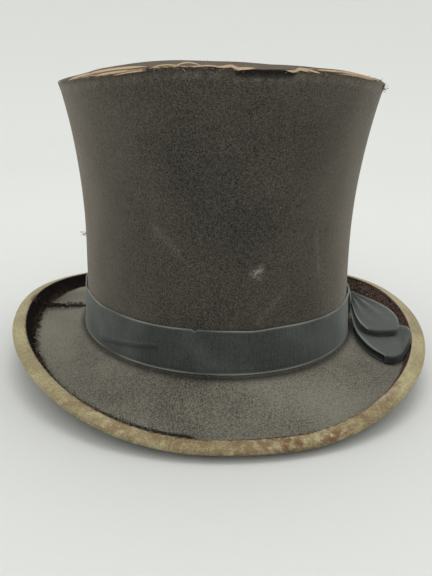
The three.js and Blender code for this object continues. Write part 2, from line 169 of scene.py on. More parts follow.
@dataclass
class Shape:
    """Points and faces of one closed body, before it becomes an object.

    Attributes:
        points: Places, (n, 3).
        faces: Corner numbers, (m, 4); a triangle repeats its last corner as -1.
        uv: Cloth coordinates of each corner in metres, (m, 4, 2).
        marks: Values on the points that the finishes read.
    """

    points: Array
    faces: Array
    uv: Array
    marks: dict[str, Array] = field(default_factory=dict)

    @staticmethod
    def grid(points: Array, wrap: tuple[bool, bool], marks: dict[str, Array] | None = None) -> "Shape":
        """Makes a shape from a grid of points.

        Args:
            points: Places, (rows, columns, 3).
            wrap: Whether the rows, and the columns, close on themselves.
            marks: Values on the points, each (rows, columns).

        Returns:
            The shape, which is closed only where the grid is.
        """
        rows, columns = points.shape[:2]
        steps = [n if closed else n - 1 for n, closed in zip((rows, columns), wrap)]
        i, j = np.meshgrid(np.arange(steps[0]), np.arange(steps[1]), indexing="ij")
        k, m = (i + 1) % rows, (j + 1) % columns
        faces = np.stack([i * columns + j, k * columns + j, k * columns + m, i * columns + m], -1)
        along = np.linalg.norm(np.diff(points, axis=0, append=points[:1]), axis=2).mean(1)
        across = np.linalg.norm(np.diff(points, axis=1, append=points[:, :1]), axis=2).mean(0)
        u = np.concatenate([[0], np.cumsum(along)])
        v = np.concatenate([[0], np.cumsum(across)])
        uv = np.stack([pair(u[i + a], v[j + b]) for a, b in ((0, 0), (1, 0), (1, 1), (0, 1))], -2)
        flat = {name: values.reshape(-1) for name, values in (marks or {}).items()}
        return Shape(points.reshape(-1, 3), faces.reshape(-1, 4), uv.reshape(-1, 4, 2), flat)

    @staticmethod
    def _there_and_back(upper: Array, lower: Array, marks: dict[str, Array] | None) -> tuple[Array, dict]:
        """Both faces as one strip of points, and the marks repeated on the way back."""
        both = {}
        for name, values in (marks or {}).items():
            full = np.broadcast_to(clamp01(values), upper.shape[:2])
            both[name] = np.concatenate([full, full[:, ::-1]], axis=1)
        return np.concatenate([upper, lower[:, ::-1]], axis=1), both

    @staticmethod
    def layer(upper: Array, lower: Array, closed: bool, marks: dict[str, Array] | None = None) -> "Shape":
        """Makes a sheet with thickness from its two faces.

        Args:
            upper: The outer face, (rows, columns, 3).
            lower: The inner face, of the same shape.
            closed: Whether it goes all the way round the hat.
            marks: Values for the outer face's points, used for both faces and kept between 0 and 1.

        Returns:
            One closed body, its faces outwards.
        """
        loop, both = Shape._there_and_back(upper, lower, marks)
        made = Shape.grid(loop, (closed, True), both)
        if not closed:
            columns = loop.shape[1]
            k = np.arange(upper.shape[1] - 1)
            cap = np.stack([k, k + 1, columns - 2 - k, columns - 1 - k], -1)
            caps = np.concatenate([cap, (cap + (upper.shape[0] - 1) * columns)[:, ::-1]])
            made.uv = np.concatenate([made.uv, made.points[caps][..., :2]])
            made.faces = np.concatenate([made.faces, caps])
        return made.outward()

    @staticmethod
    def lid(upper: Array, lower: Array, marks: dict[str, Array] | None = None) -> "Shape":
        """Makes a sheet that closes over the middle of the hat.

        Args:
            upper: The top face from near its centre outwards, (rows, columns, 3).
            lower: The bottom face, of the same shape.
            marks: Values for the top face's points, used for both faces and kept between 0 and 1.

        Returns:
            One closed body, its faces outwards.
        """
        loop, both = Shape._there_and_back(upper, lower, marks)
        made = Shape.grid(loop, (True, False), both)
        rows, columns = loop.shape[:2]
        centres = np.stack([upper[:, 0].mean(0), lower[:, 0].mean(0)])
        count = rows * columns
        here = np.arange(rows) * columns
        after = np.roll(here, -1)
        blank = np.full(rows, -1)
        top = np.stack([np.full(rows, count), after, here, blank], -1)
        low = np.stack([np.full(rows, count + 1), here + columns - 1, after + columns - 1, blank], -1)
        points = np.concatenate([made.points, centres])
        faces = np.concatenate([made.faces, top, low])
        corners = points[np.where(faces < 0, 0, faces)][..., :2]
        filled = {name: np.concatenate([values, [0.0, 0.0]]) for name, values in made.marks.items()}
        return Shape(points, faces, corners, filled).outward()

    @staticmethod
    def joined(shapes: Sequence["Shape"]) -> "Shape":
        """Puts several closed bodies into one shape."""
        names = sorted({name for shape in shapes for name in shape.marks})
        faces = []
        offset = 0
        for shape in shapes:
            faces.append(np.where(shape.faces < 0, -1, shape.faces + offset))
            offset += len(shape.points)
        marks = {
            name: np.concatenate([s.marks.get(name, np.zeros(len(s.points))) for s in shapes])
            for name in names
        }
        return Shape(
            np.concatenate([s.points for s in shapes]),
            np.concatenate(faces),
            np.concatenate([s.uv for s in shapes]),
            marks,
        )

    def outward(self) -> "Shape":
        """Returns the shape with its faces turned outwards."""
        corner = self.points[np.where(self.faces < 0, 0, self.faces)]
        first = np.einsum("ij,ij->i", corner[:, 0], np.cross(corner[:, 1], corner[:, 2]))
        second = np.einsum("ij,ij->i", corner[:, 0], np.cross(corner[:, 2], corner[:, 3]))
        volume = first.sum() + second[self.faces[:, 3] >= 0].sum()
        if volume >= 0:
            return self
        order = np.where(self.faces[:, 3:] < 0, [[0, 2, 1, 3]], [[0, 3, 2, 1]])
        faces = np.take_along_axis(self.faces, order, 1)
        uv = np.take_along_axis(self.uv, order[..., None], 1)
        return Shape(self.points, faces, uv, self.marks)

    def object(self, name: str, material: bpy.types.Material, crease: float = 50.0) -> Piece:
        """Makes the Blender object.

        Args:
            name: The piece's name.
            material: Its finish.
            crease: Edges sharper than this many degrees are shaded sharp.

        Returns:
            The object, at the origin, linked into the scene.
        """
        mesh = bpy.data.meshes.new(name)
        sizes = np.where(self.faces[:, 3] < 0, 3, 4)
        used = self.faces.reshape(-1) >= 0
        corners = self.faces.reshape(-1)[used]
        mesh.vertices.add(len(self.points))
        mesh.vertices.foreach_set("co", self.points.astype(np.float32).reshape(-1))
        mesh.loops.add(len(corners))
        mesh.loops.foreach_set("vertex_index", corners.astype(np.int32))
        mesh.polygons.add(len(sizes))
        starts = np.concatenate([[0], np.cumsum(sizes)[:-1]])
        mesh.polygons.foreach_set("loop_start", starts.astype(np.int32))
        mesh.update(calc_edges=True)
        layer = mesh.uv_layers.new(name="UVMap")
        layer.uv.foreach_set("vector", self.uv.reshape(-1, 2)[used].astype(np.float32).reshape(-1))
        for mark, values in self.marks.items():
            attribute = mesh.attributes.new(mark, "FLOAT", "POINT")
            attribute.data.foreach_set("value", values.astype(np.float32))
        mesh.materials.append(material)
        mesh.polygons.foreach_set("use_smooth", np.ones(len(sizes), bool))
        mesh.set_sharp_from_angle(angle=math.radians(crease))
        return linked(name, mesh)

    def dress(self, name: str, finish: "Finish", slot: str, *nodes: str) -> Piece:
        """Makes the object in its finish and settles it on the hat."""
        return settle(self.object(name, finish.make()), slot, *nodes)


# -------- the hat's form

@dataclass(frozen=True)
class HatForm:
    """The hat's walls, tip and brim as formulas, with the wear that bends them.

    Attributes:
        base_z: Height of the crown's foot at the front and the back.
        top_half: Half width of the crown at its top.
        excess: How much longer the crown is than wide, on each half.
        tip_z: Height of the tip along its middle.
        brim_half: Half width and half length of the brim over its binding.
    """

    base_z: float
    top_half: float
    excess: float
    tip_z: float
    brim_half: tuple[float, float]
    side_dip: float = 2 * MM
    tip_arch: float = 11.4 * MM
    tip_flat: float = 0.15
    top_flare: float = 12.4 * MM
    base_flare: float = 2 * MM
    waist_at: float = 0.36
    brim_power: float = 2.15
    foot_z: float = 3.71 * MM
    foot_rise: float = 12.6 * MM
    lip_width: tuple[float, float, float] = (7.6 * MM, 8.7 * MM, 9 * MM)
    lip_droop: float = 1.8 * MM
    lip_skive: float = 0.55
    collar: float = 3.3 * MM
    wall_run: tuple[float, float, float] = (5 * MM, 3 * MM, 4 * MM)
    wall_height: tuple[float, float, float] = (10 * MM, 3.5 * MM, 7.3 * MM)
    dent_waves: Waves = Waves(11, 2, 7, 2.2)
    fine_waves: Waves = Waves(12, 9, 22, 6.0, 16)
    brim_waves: Waves = Waves(13, 2, 8, 1.0)
    edge_waves: Waves = Waves(14, 3, 16, 0.0)

    @classmethod
    def from_frame(cls) -> "HatForm":
        """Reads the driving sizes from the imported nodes."""
        cover_low, cover_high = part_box("side_cover")
        _, binding_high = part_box("brim_binding")
        _, tip_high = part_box("tip_cover")
        return cls(
            base_z=cover_low.z - 0.3 * MM + 2 * MM,
            top_half=cover_high.x,
            excess=cover_high.y - cover_high.x,
            tip_z=tip_high.z,
            brim_half=(binding_high.x, binding_high.y),
        )

    @property
    def waist_half(self) -> float:
        """Half width of the crown at its waist."""
        return self.top_half - self.top_flare

    @property
    def girth(self) -> float:
        """Length round the crown at its waist."""
        return TURN * (self.waist_half + self.excess / 2)

    def sideness(self, angle: Any) -> Any:
        """0 at the front and the back of the hat, and 1 at its sides."""
        flat = math.sin(math.pi / 20)
        return clamp01((np.abs(np.cos(angle)) - flat) / (1 - flat)) ** 1.8

    def round_the_brim(self, size: tuple[float, float, float], angle: Any) -> Any:
        """Blends sizes given for the side, the front and the back."""
        side, front, back = size
        end = mix(front, back, clamp01(np.sin(angle) * 0.5 + 0.5))
        return mix(end, side, self.sideness(angle))

    @staticmethod
    def oval(half_width: Any, half_length: Any, power: float, angle: Any) -> tuple[Any, Any]:
        """A point of an oval, as its x and its y."""
        c, s = np.cos(angle), np.sin(angle)
        return (
            half_width * np.sign(c) * np.abs(c) ** (2 / power),
            half_length * np.sign(s) * np.abs(s) ** (2 / power),
        )

    def half_width(self, level: Any) -> Any:
        """Half width of the crown at a level from 0 at the brim to 1 at the tip."""
        above = clamp01((level - self.waist_at) / (1 - self.waist_at))
        below = clamp01((self.waist_at - level) / self.waist_at)
        return self.waist_half + self.top_flare * above**2 + self.base_flare * below**1.8

    def tip_bend(self, across: Any) -> Any:
        """How far the tip stands above its sides, from the share of its half width."""
        return self.tip_arch * (1 - clamp01((across - self.tip_flat) / (1 - self.tip_flat)) ** 2)

    def foot_height(self, angle: Any) -> Any:
        """Height of the crown's foot."""
        return self.base_z - self.side_dip * np.cos(angle) ** 2

    def edge_height(self, angle: Any) -> Any:
        """Height of the tip's edge, with its small unevenness."""
        plain = self.tip_z - self.tip_arch + self.tip_bend(np.abs(np.cos(angle)))
        return plain + self.edge_wave(angle)

    def edge_wave(self, angle: Any) -> Any:
        """Unevenness of the tip's edge."""
        sag = 1.5 * MM * window(angle, -93.0, -78.0, 2.6)
        return 0.12 * MM * self.edge_waves(angle, 0.0) - sag

    def dent(self, angle: Any, level: Any) -> Any:
        """How far the crown's wall is pushed in by age and handling."""
        pressed = 1.5 * MM * bell(off_from(angle, -103), 0.17) * bell(level - 0.82, 0.11)
        ridge = -0.7 * MM * bell(off_from(angle, -117), 0.07) * bell(level - 0.5, 0.2)
        hollow = 0.8 * MM * bell(off_from(angle, -68), 0.2) * bell(level - 0.62, 0.2)
        held = ease(level, 0.0, 0.3) * (1 - 0.8 * ease(level, 0.9, 1.0))
        slack = 0.42 * MM * self.dent_waves(angle, level) + 0.08 * MM * self.fine_waves(angle, level)
        return (pressed + ridge + hollow + slack) * held

    def wall(self, angle: Any, level: Any, inset: Any, lift: Any = 0.0) -> Array:
        """Points of the crown's wall.

        Args:
            angle: Angles round the hat.
            level: 0 at the brim to 1 at the tip's edge.
            inset: Distance in from the cloth's outer face.
            lift: Extra height.

        Returns:
            Places, with one more axis than the arguments.
        """
        low = self.foot_height(angle)
        height = self.edge_height(angle) - low
        at = level + lift / height
        half = self.half_width(clamp01(at))
        depth = inset + self.dent(angle, at)
        x, y = self.oval(half - depth, half + self.excess - depth, 2, angle)
        return np.stack(np.broadcast_arrays(x, y, low + height * at), -1)

    def tip(self, angle: Any, reach: Any, inset: Any, depth: Any) -> Array:
        """Points of the tip, from its centre at reach 0 to its edge at 1."""
        half = self.top_half
        x, y = self.oval(reach * (half - inset), reach * (half + self.excess - inset), 2, angle)
        sway = 0.5 * MM * self.dent_waves(angle, reach) * np.sin(math.pi * clamp01(reach)) * reach
        z = self.tip_z - self.tip_arch + self.tip_bend(np.abs(x) / half)
        z = z + sway + self.edge_wave(angle) * clamp01(reach) ** 4 - depth
        return np.stack(np.broadcast_arrays(x, y, z), -1)

    def brim_lines(self, angle: Array) -> tuple[Array, Array, Array]:
        """The brim's section at each angle.

        Args:
            angle: Angles round the hat, (n,).

        Returns:
            Points as distance inwards and height, (n, 15, 2), the bound edge's plan points, (n, 2),
            and the outward directions, (n, 2).
        """
        foot_half = float(self.half_width(0.0))
        base = pair(*self.oval(foot_half, foot_half + self.excess, 2, angle))
        edge = pair(*self.oval(*self.brim_half, self.brim_power, angle))
        width = np.linalg.norm(edge - base, axis=1)
        out = (edge - base) / width[:, None]
        run = self.round_the_brim(self.wall_run, angle)
        rise = self.round_the_brim(self.wall_height, angle)
        lip = self.round_the_brim(self.lip_width, angle)
        start_z = self.foot_height(angle)
        foot_z = self.foot_z + self.foot_rise * self.sideness(angle)
        foot = pair(lip + run, foot_z)
        middle = pair(foot[:, 0] - 0.5 * run, foot_z + 0.38 * rise)
        crest = pair(lip, foot_z + rise)
        shoulder = pair(width - 0.6 * MM, start_z)
        slope_end = foot + np.array([2.2, 0.25]) * MM
        slope = [
            pair(
                mix(shoulder[:, 0], slope_end[:, 0], s),
                mix(slope_end[:, 1], shoulder[:, 1], (1 - s) ** 1.25),
            )
            for s in (0.3, 0.6, 0.82)
        ]
        line = [
            pair(width + self.collar, start_z),
            shoulder,
            *slope,
            slope_end,
            foot,
            mix(foot, middle, 0.3),
            mix(foot, middle, 0.55),
            middle,
            mix(middle, crest, 0.42),
            mix(middle, crest, 0.58),
            crest,
            pair(0.5 * lip, crest[:, 1] - 0.35 * self.lip_droop),
            pair(np.full_like(run, 1.2 * MM), crest[:, 1] - self.lip_droop),
        ]
        return np.stack(line, 1), edge, out

    def brim(self, angle: Array, along: Array, depth: Any, lift: Any = 0.0) -> Array:
        """Points of the brim on a smooth curve through its section.

        Args:
            angle: Angles round the hat, (n,).
            along: Place on the section, from 0 under the crown to 14 at the lip, (m,) or (n, m).
            depth: Distance under the brim's upper face.
            lift: Extra height.

        Returns:
            Places, (n, m, 3).
        """
        line, edge, out = self.brim_lines(angle)
        where = np.broadcast_to(along, (len(angle), np.shape(along)[-1]))
        flat, square = self._on_curve(line, where)
        depth = depth * mix(1.0, self.lip_skive, ease(where, 9.5, 12.5))
        inward = flat[..., 0] - square[..., 0] * depth
        z = flat[..., 1] - square[..., 1] * depth
        share = ease(where, 0.5, 3.0) * (1 - 0.55 * ease(where, 9.0, LIP))
        z = z + share * 0.55 * MM * self.brim_waves(angle[:, None], where / LIP) + lift
        x = edge[:, None, 0] - out[:, None, 0] * inward
        y = edge[:, None, 1] - out[:, None, 1] * inward
        return np.stack([x, y, z], -1)

    @staticmethod
    def _on_curve(line: Array, where: Array) -> tuple[Array, Array]:
        """Points of a smooth curve through each section's points, and the upward squares to it."""
        last = line.shape[1] - 1
        cell = np.clip(np.floor(where).astype(int), 0, last - 1)
        t = (where - cell)[..., None]
        rows = np.arange(line.shape[0])[:, None]
        p = [line[rows, np.clip(cell + k, 0, last)] for k in (-1, 0, 1, 2)]
        spans = [np.linalg.norm(p[k + 1] - p[k], axis=-1, keepdims=True) + 1e-7 for k in range(3)]
        before = (p[2] - p[0]) / (spans[0] + spans[1]) * spans[1]
        after = (p[3] - p[1]) / (spans[1] + spans[2]) * spans[1]
        t2, t3 = t * t, t * t * t
        point = (
            (2 * t3 - 3 * t2 + 1) * p[1]
            + (t3 - 2 * t2 + t) * before
            + (3 * t2 - 2 * t3) * p[2]
            + (t3 - t2) * after
        )
        slope = (
            (6 * t2 - 6 * t) * p[1]
            + (3 * t2 - 4 * t + 1) * before
            + (6 * t - 6 * t2) * p[2]
            + (3 * t2 - 2 * t) * after
        )
        slope = slope / (np.linalg.norm(slope, axis=-1, keepdims=True) + 1e-12)
        return point, np.stack([slope[..., 1], -slope[..., 0]], -1)

    def brim_top_at(self, x: Array, y: Array) -> Array:
        """Height of the brim's upper face under points of the plan."""
        flat_x, flat_y = x.reshape(-1), y.reshape(-1)
        angle = np.linspace(-math.pi, math.pi, 241)[:-1]
        along = np.linspace(0.0, LIP, 141)
        surface = self.brim(angle, along, 0.0).reshape(-1, 3)
        heights = np.empty(len(flat_x))
        for k, (px, py) in enumerate(zip(flat_x, flat_y)):
            away = (surface[:, 0] - px) ** 2 + (surface[:, 1] - py) ** 2
            near = np.argpartition(away, 6)[:6]
            weight = 1 / (away[near] + 1e-8)
            heights[k] = (surface[near, 2] * weight).sum() / weight.sum()
        return heights.reshape(x.shape)


def stations(count: int) -> Array:
    """Evenly spaced angles round the hat."""
    return np.linspace(0, TURN, count, endpoint=False)


# -------- node trees

class Wiring:
    """Adds nodes to one tree and joins them."""

    def __init__(self, tree: Tree) -> None:
        """Keeps the tree."""
        self.tree = tree

    def feed(self, socket: Socket, value: Any) -> None:
        """Links a socket to another, or sets its value."""
        if isinstance(value, bpy.types.NodeSocket):
            self.tree.links.new(value, socket)
        else:
            socket.default_value = value

    def node(self, kind: str, feeds: dict[Any, Any] | None = None, **settings: Any) -> bpy.types.Node:
        """Adds a node.

        Args:
            kind: The node's type.
            feeds: Values or links for its inputs, by name or number.
            settings: Its own properties.

        Returns:
            The node.
        """
        made = self.tree.nodes.new(kind)
        for key, value in settings.items():
            setattr(made, key, value)
        for key, value in (feeds or {}).items():
            self.feed(made.inputs[key], value)
        return made

    def out(self, kind: str, feeds: dict[Any, Any] | None = None, **settings: Any) -> Socket:
        """Adds a node and gives its first output."""
        return self.node(kind, feeds, **settings).outputs[0]

    def math(self, operation: str, a: Any, b: Any = 0.0, clamp: bool = False) -> Socket:
        """A Math node's result."""
        made = self.node("ShaderNodeMath", {0: a, 1: b}, operation=operation)
        made.use_clamp = clamp
        return made.outputs[0]

    def times(self, a: Any, b: Any, clamp: bool = False) -> Socket:
        """The product of two values."""
        return self.math("MULTIPLY", a, b, clamp)

    def weighted(self, *terms: tuple[Any, float]) -> Any:
        """The sum of several values, each times its weight."""
        result: Any = None
        for value, weight in terms:
            part = self.times(value, weight)
            result = part if result is None else self.math("ADD", result, part)
        return result

    def tint(self, base: Any, value: Any, share: Any, colour: Colour) -> Socket:
        """Lays a colour over another as far as a value times a share says."""
        return self.blend(self.times(value, share, clamp=True), base, rgba(colour))

    def blend(self, share: Any, a: Any, b: Any, how: str = "MIX") -> Socket:
        """A colour between two colours."""
        made = self.node("ShaderNodeMix", {0: share, 6: a, 7: b}, data_type="RGBA", blend_type=how)
        return made.outputs[2]

    def span(self, value: Any, low: float, high: float, to_low: float = 0.0, to_high: float = 1.0) -> Socket:
        """Maps a value from one span to another, clamped."""
        feeds = {"Value": value, "From Min": low, "From Max": high, "To Min": to_low, "To Max": to_high}
        return self.node("ShaderNodeMapRange", feeds, interpolation_type="SMOOTHSTEP").outputs[0]

    def noise(self, vector: Any, scale: Any, detail: float = 2.0, rough: float = 0.5) -> Socket:
        """A noise texture's value."""
        feeds = {"Vector": vector, "Scale": scale, "Detail": detail, "Roughness": rough}
        return self.node("ShaderNodeTexNoise", feeds).outputs[0]

    def mark(self, name: str) -> Socket:
        """A value stored on the points of the piece."""
        return self.node("ShaderNodeAttribute", attribute_name=name).outputs["Fac"]


class Effect(Enum):
    """The shader effects that more than one finish uses."""

    GRAIN = "Cloth grain"
    WEAVE = "Plain weave"
    RIBS = "Ribbon ribs"
    STAIN = "Stain"


def effect_tree(effect: Effect) -> Tree:
    """Builds an effect's node group, or returns the one that is there.

    Args:
        effect: Which effect.

    Returns:
        The node group, whose outputs are all values that change over the surface.
    """
    found = bpy.data.node_groups.get(effect.value)
    if found is not None:
        return found
    tree = bpy.data.node_groups.new(effect.value, "ShaderNodeTree")
    return {
        Effect.GRAIN: build_grain,
        Effect.WEAVE: build_weave,
        Effect.RIBS: build_ribs,
        Effect.STAIN: build_stain,
    }[effect](tree)


def sockets(tree: Tree, inputs: dict[str, Any], outputs: Sequence[str]) -> tuple[Any, Any]:
    """Adds a group's named sockets.

    Args:
        tree: The node group.
        inputs: Names and starting values; None stands for a vector.
        outputs: Names of the outputs, all values.

    Returns:
        What the group is given, and where its results go, both by name.
    """
    for name, value in inputs.items():
        kind = "NodeSocketVector" if value is None else "NodeSocketFloat"
        made = tree.interface.new_socket(name=name, in_out="INPUT", socket_type=kind)
        if value is not None:
            made.default_value = value
    for name in outputs:
        tree.interface.new_socket(name=name, in_out="OUTPUT", socket_type="NodeSocketFloat")
    return tree.nodes.new("NodeGroupInput").outputs, tree.nodes.new("NodeGroupOutput").inputs


def build_grain(tree: Tree) -> Tree:
    """Fine specks, slow blotches and a fuzzy height, as on rubbed nap."""
    given, result = sockets(
        tree, {"Vector": None, "Speck Scale": 1500.0, "Blotch Scale": 24.0}, ("Speck", "Blotch", "Height")
    )
    w = Wiring(tree)
    place, scale = given["Vector"], given["Speck Scale"]
    fine = w.noise(place, scale, 2.0, 0.7)
    middle = w.noise(place, w.times(scale, 0.4), 3.0, 0.7)
    slow = w.noise(place, given["Blotch Scale"], 3.0, 0.55)
    w.feed(result["Speck"], w.span(w.math("ADD", fine, w.times(middle, 0.6)), 0.63, 0.97))
    w.feed(result["Blotch"], w.span(slow, 0.3, 0.7))
    w.feed(result["Height"], w.math("ADD", fine, w.times(middle, 0.8)))
    return tree


def build_weave(tree: Tree) -> Tree:
    """Threads over and under each other, from cloth coordinates."""
    given, result = sockets(tree, {"Vector": None, "Threads": 1200.0, "Slack": 0.3}, ("Height", "Gap"))
    w = Wiring(tree)
    parts = w.node("ShaderNodeSeparateXYZ", {0: given["Vector"]})
    drift = w.times(w.noise(given["Vector"], 60.0), given["Slack"])
    waves = []
    for axis in (0, 1):
        turns = w.times(parts.outputs[axis], given["Threads"])
        phase = w.times(w.math("ADD", turns, drift), TURN)
        waves.append(w.math("SINE", phase))
    product = w.times(waves[0], waves[1])
    w.feed(result["Height"], w.span(product, -1.0, 1.0))
    both = w.math("MAXIMUM", w.math("ABSOLUTE", waves[0]), w.math("ABSOLUTE", waves[1]))
    w.feed(result["Gap"], w.span(both, 0.35, 0.1))
    return tree


def build_ribs(tree: Tree) -> Tree:
    """Close ribs across a ribbon, each a little different."""
    given, result = sockets(tree, {"Vector": None, "Ribs": 1100.0}, ("Height", "Tone"))
    w = Wiring(tree)
    parts = w.node("ShaderNodeSeparateXYZ", {0: given["Vector"]})
    turns = w.times(parts.outputs[0], given["Ribs"])
    wave = w.math("SINE", w.times(turns, TURN))
    stretched = w.node("ShaderNodeVectorMath", {0: given["Vector"], 1: (900.0, 60.0, 1.0)})
    stretched.operation = "MULTIPLY"
    w.feed(result["Height"], w.span(wave, -1.0, 1.0))
    w.feed(result["Tone"], w.span(w.noise(stretched.outputs[0], 1.0, 2.0), 0.3, 0.7))
    return tree


def build_stain(tree: Tree) -> Tree:
    """Uneven patches with broken edges."""
    given, result = sockets(tree, {"Vector": None, "Scale": 60.0, "Cover": 0.5, "Edge": 0.08}, ("Mask",))
    w = Wiring(tree)
    large = w.noise(given["Vector"], given["Scale"], 4.0, 0.65)
    high = w.math("SUBTRACT", 1.0, given["Cover"])
    off = w.math("SUBTRACT", large, w.math("ADD", w.times(high, 0.6), 0.2))
    w.feed(result["Mask"], w.math("DIVIDE", off, given["Edge"], clamp=True))
    return tree


@dataclass(frozen=True)
class Finish:
    """What every finish shares: a name, a roughness and the shader that it ends in.

    Attributes:
        name: The material's name.
        roughness: The surface's roughness.
        sheen: Weight of the soft sheen at grazing angles.
        sheen_tint: Colour of that sheen.
        bump: Depth of the fine relief, in metres.
        gloss: Strength of the plain reflection.
    """

    name: str
    roughness: float = 0.9
    sheen: float = 0.0
    sheen_tint: Colour = (0.9, 0.86, 0.78)
    bump: float = 0.1 * MM
    gloss: float = 0.3

    def make(self) -> bpy.types.Material:
        """Returns the material, built once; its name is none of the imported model's materials."""
        found = bpy.data.materials.get(self.name)
        if found is not None:
            return found
        material = bpy.data.materials.new(self.name)
        material.use_nodes = True
        tree = material.node_tree
        shader = tree.nodes["Principled BSDF"]
        shader.inputs["Roughness"].default_value = self.roughness
        shader.inputs["Sheen Weight"].default_value = self.sheen
        shader.inputs["Sheen Roughness"].default_value = 0.45
        shader.inputs["Sheen Tint"].default_value = rgba(self.sheen_tint)
        shader.inputs["Specular IOR Level"].default_value = self.gloss
        w = Wiring(tree)
        places = tree.nodes.new("ShaderNodeTexCoord")
        colour, height = self.pattern(w, places.outputs["Object"], places.outputs["UV"])
        w.feed(shader.inputs["Base Color"], colour)
        relief = w.node("ShaderNodeBump", {"Distance": self.bump, "Height": height})
        relief.inputs["Strength"].default_value = 1.0
        w.feed(shader.inputs["Normal"], relief.outputs[0])
        material.diffuse_color = (0.2, 0.2, 0.2, 1.0)
        return material

    def pattern(self, w: Wiring, place: Socket, cloth: Socket) -> tuple[Socket, Socket]:
        """Builds the colour and the height; each finish has its own."""
        raise NotImplementedError

    @staticmethod
    def effect(w: Wiring, effect: Effect, feeds: dict[str, Any]) -> bpy.types.Node:
        """Places an effect's node group."""
        made = w.node("ShaderNodeGroup", node_tree=effect_tree(effect))
        for key, value in feeds.items():
            w.feed(made.inputs[key], value)
        return made


@dataclass(frozen=True)
class NapCloth(Finish):
    """Short-napped cloth that has faded and lost its pile in places.

    It reads four marks: dust, stain, worn and shade; shade is painted shade, apart from one small dark spot.
    """

    gloss: float = 0.08
    dark: Colour = (0.05, 0.046, 0.038)
    light: Colour = (0.11, 0.103, 0.086)
    dust: Colour = (0.42, 0.39, 0.34)
    rust: Colour = (0.13, 0.075, 0.04)
    speck_scale: float = 1500.0
    blotch: float = 0.35
    flecks: float = 0.3
    fleck_scale: float = 3100.0

    def pattern(self, w: Wiring, place: Socket, cloth: Socket) -> tuple[Socket, Socket]:
        """Specks over slow blotches, then dust, rust and painted shade where they are marked."""
        grain = self.effect(w, Effect.GRAIN, {"Vector": place, "Speck Scale": self.speck_scale})
        weave = self.effect(w, Effect.WEAVE, {"Vector": cloth, "Threads": 1400.0})
        lift = w.weighted(
            (grain.outputs["Speck"], 0.85), (grain.outputs["Blotch"], self.blotch), (w.mark("worn"), 0.5)
        )
        base = w.blend(w.math("ADD", lift, -0.1, clamp=True), rgba(self.dark), rgba(self.light))
        base = w.tint(base, w.mark("dust"), w.span(w.noise(place, 900.0, 3.0, 0.7), 0.38, 0.62), self.dust)
        flecks = w.span(w.noise(place, self.fleck_scale, 1.0), 0.6, 0.7, 0.0, self.flecks)
        base = w.blend(flecks, base, rgba(self.dust))
        base = w.tint(base, w.mark("stain"), 0.9, self.rust)
        # Painted shade: the shade mark darkens the cloth where it lies in shadow.
        base = w.tint(base, w.mark("shade"), 0.95, PAINTED_SHADE_AND_SPOT)
        height = w.math("ADD", grain.outputs["Height"], w.times(weave.outputs["Height"], 0.25))
        return base, height


@dataclass(frozen=True)
class Ribbon(Finish):
    """Ribbed ribbon, with painted highlights along its edges and faded or rusty patches."""

    base: Colour = (0.03, 0.036, 0.037)
    faded: Colour = (0.08, 0.088, 0.084)
    patch: Colour = (0.2, 0.1, 0.04)
    ribs: float = 1100.0
    fading: float = 0.4
    streaks: float = 0.12
    mottle: float = 0.35
    highlight_and_worn_edge: Colour = (0.27, 0.285, 0.25)

    def pattern(self, w: Wiring, place: Socket, cloth: Socket) -> tuple[Socket, Socket]:
        """Ribs, fading and patches, with the marks worn, stain, edge (a painted highlight) and shade
        (painted shade).
        """
        ribs = self.effect(w, Effect.RIBS, {"Vector": cloth, "Ribs": self.ribs})
        fade = self.effect(w, Effect.STAIN, {"Vector": place, "Scale": 45.0, "Cover": 0.5, "Edge": 0.3})
        amount = w.weighted(
            (ribs.outputs["Tone"], self.streaks),
            (w.span(w.noise(place, 1100.0, 3.0, 0.7), 0.35, 0.65), self.mottle),
            (fade.outputs["Mask"], self.fading),
            (w.mark("worn"), 0.8),
        )
        base = w.tint(rgba(self.base), amount, 1.0, self.faded)
        # Painted highlight along the edges; on the binding it also draws a pale worn band.
        base = w.tint(base, w.mark("edge"), 1.0, self.highlight_and_worn_edge)
        base = w.tint(base, w.mark("stain"), w.span(w.noise(place, 260.0, 4.0, 0.7), 0.36, 0.6), self.patch)
        # Painted shade where the shade mark says.
        base = w.tint(base, w.mark("shade"), 0.9, PAINTED_SHADE_BLACK)
        height = w.math("ADD", ribs.outputs["Height"], w.times(w.noise(place, 2400.0, 2.0), 0.5))
        return base, height


@dataclass(frozen=True)
class Weave(Finish):
    """Plain woven cloth: muslin, lining silk, straw-coloured tape or stiffened board."""

    base: Colour = (0.6, 0.5, 0.33)
    dark: Colour = (0.3, 0.2, 0.1)
    threads: float = 900.0
    stain_scale: float = 30.0
    stain_cover: float = 0.4
    open_gaps: float = 0.6

    def pattern(self, w: Wiring, place: Socket, cloth: Socket) -> tuple[Socket, Socket]:
        """Threads with dark gaps between them, stained in patches."""
        weave = self.effect(w, Effect.WEAVE, {"Vector": cloth, "Threads": self.threads})
        patches = {"Vector": place, "Scale": self.stain_scale, "Cover": self.stain_cover, "Edge": 0.25}
        stain = self.effect(w, Effect.STAIN, patches)
        amount = w.weighted((weave.outputs["Gap"], self.open_gaps), (stain.outputs["Mask"], 0.5))
        base = w.tint(rgba(self.base), amount, 1.0, self.dark)
        base = w.tint(base, w.mark("stain"), 0.8, self.dark)
        return base, weave.outputs["Height"]


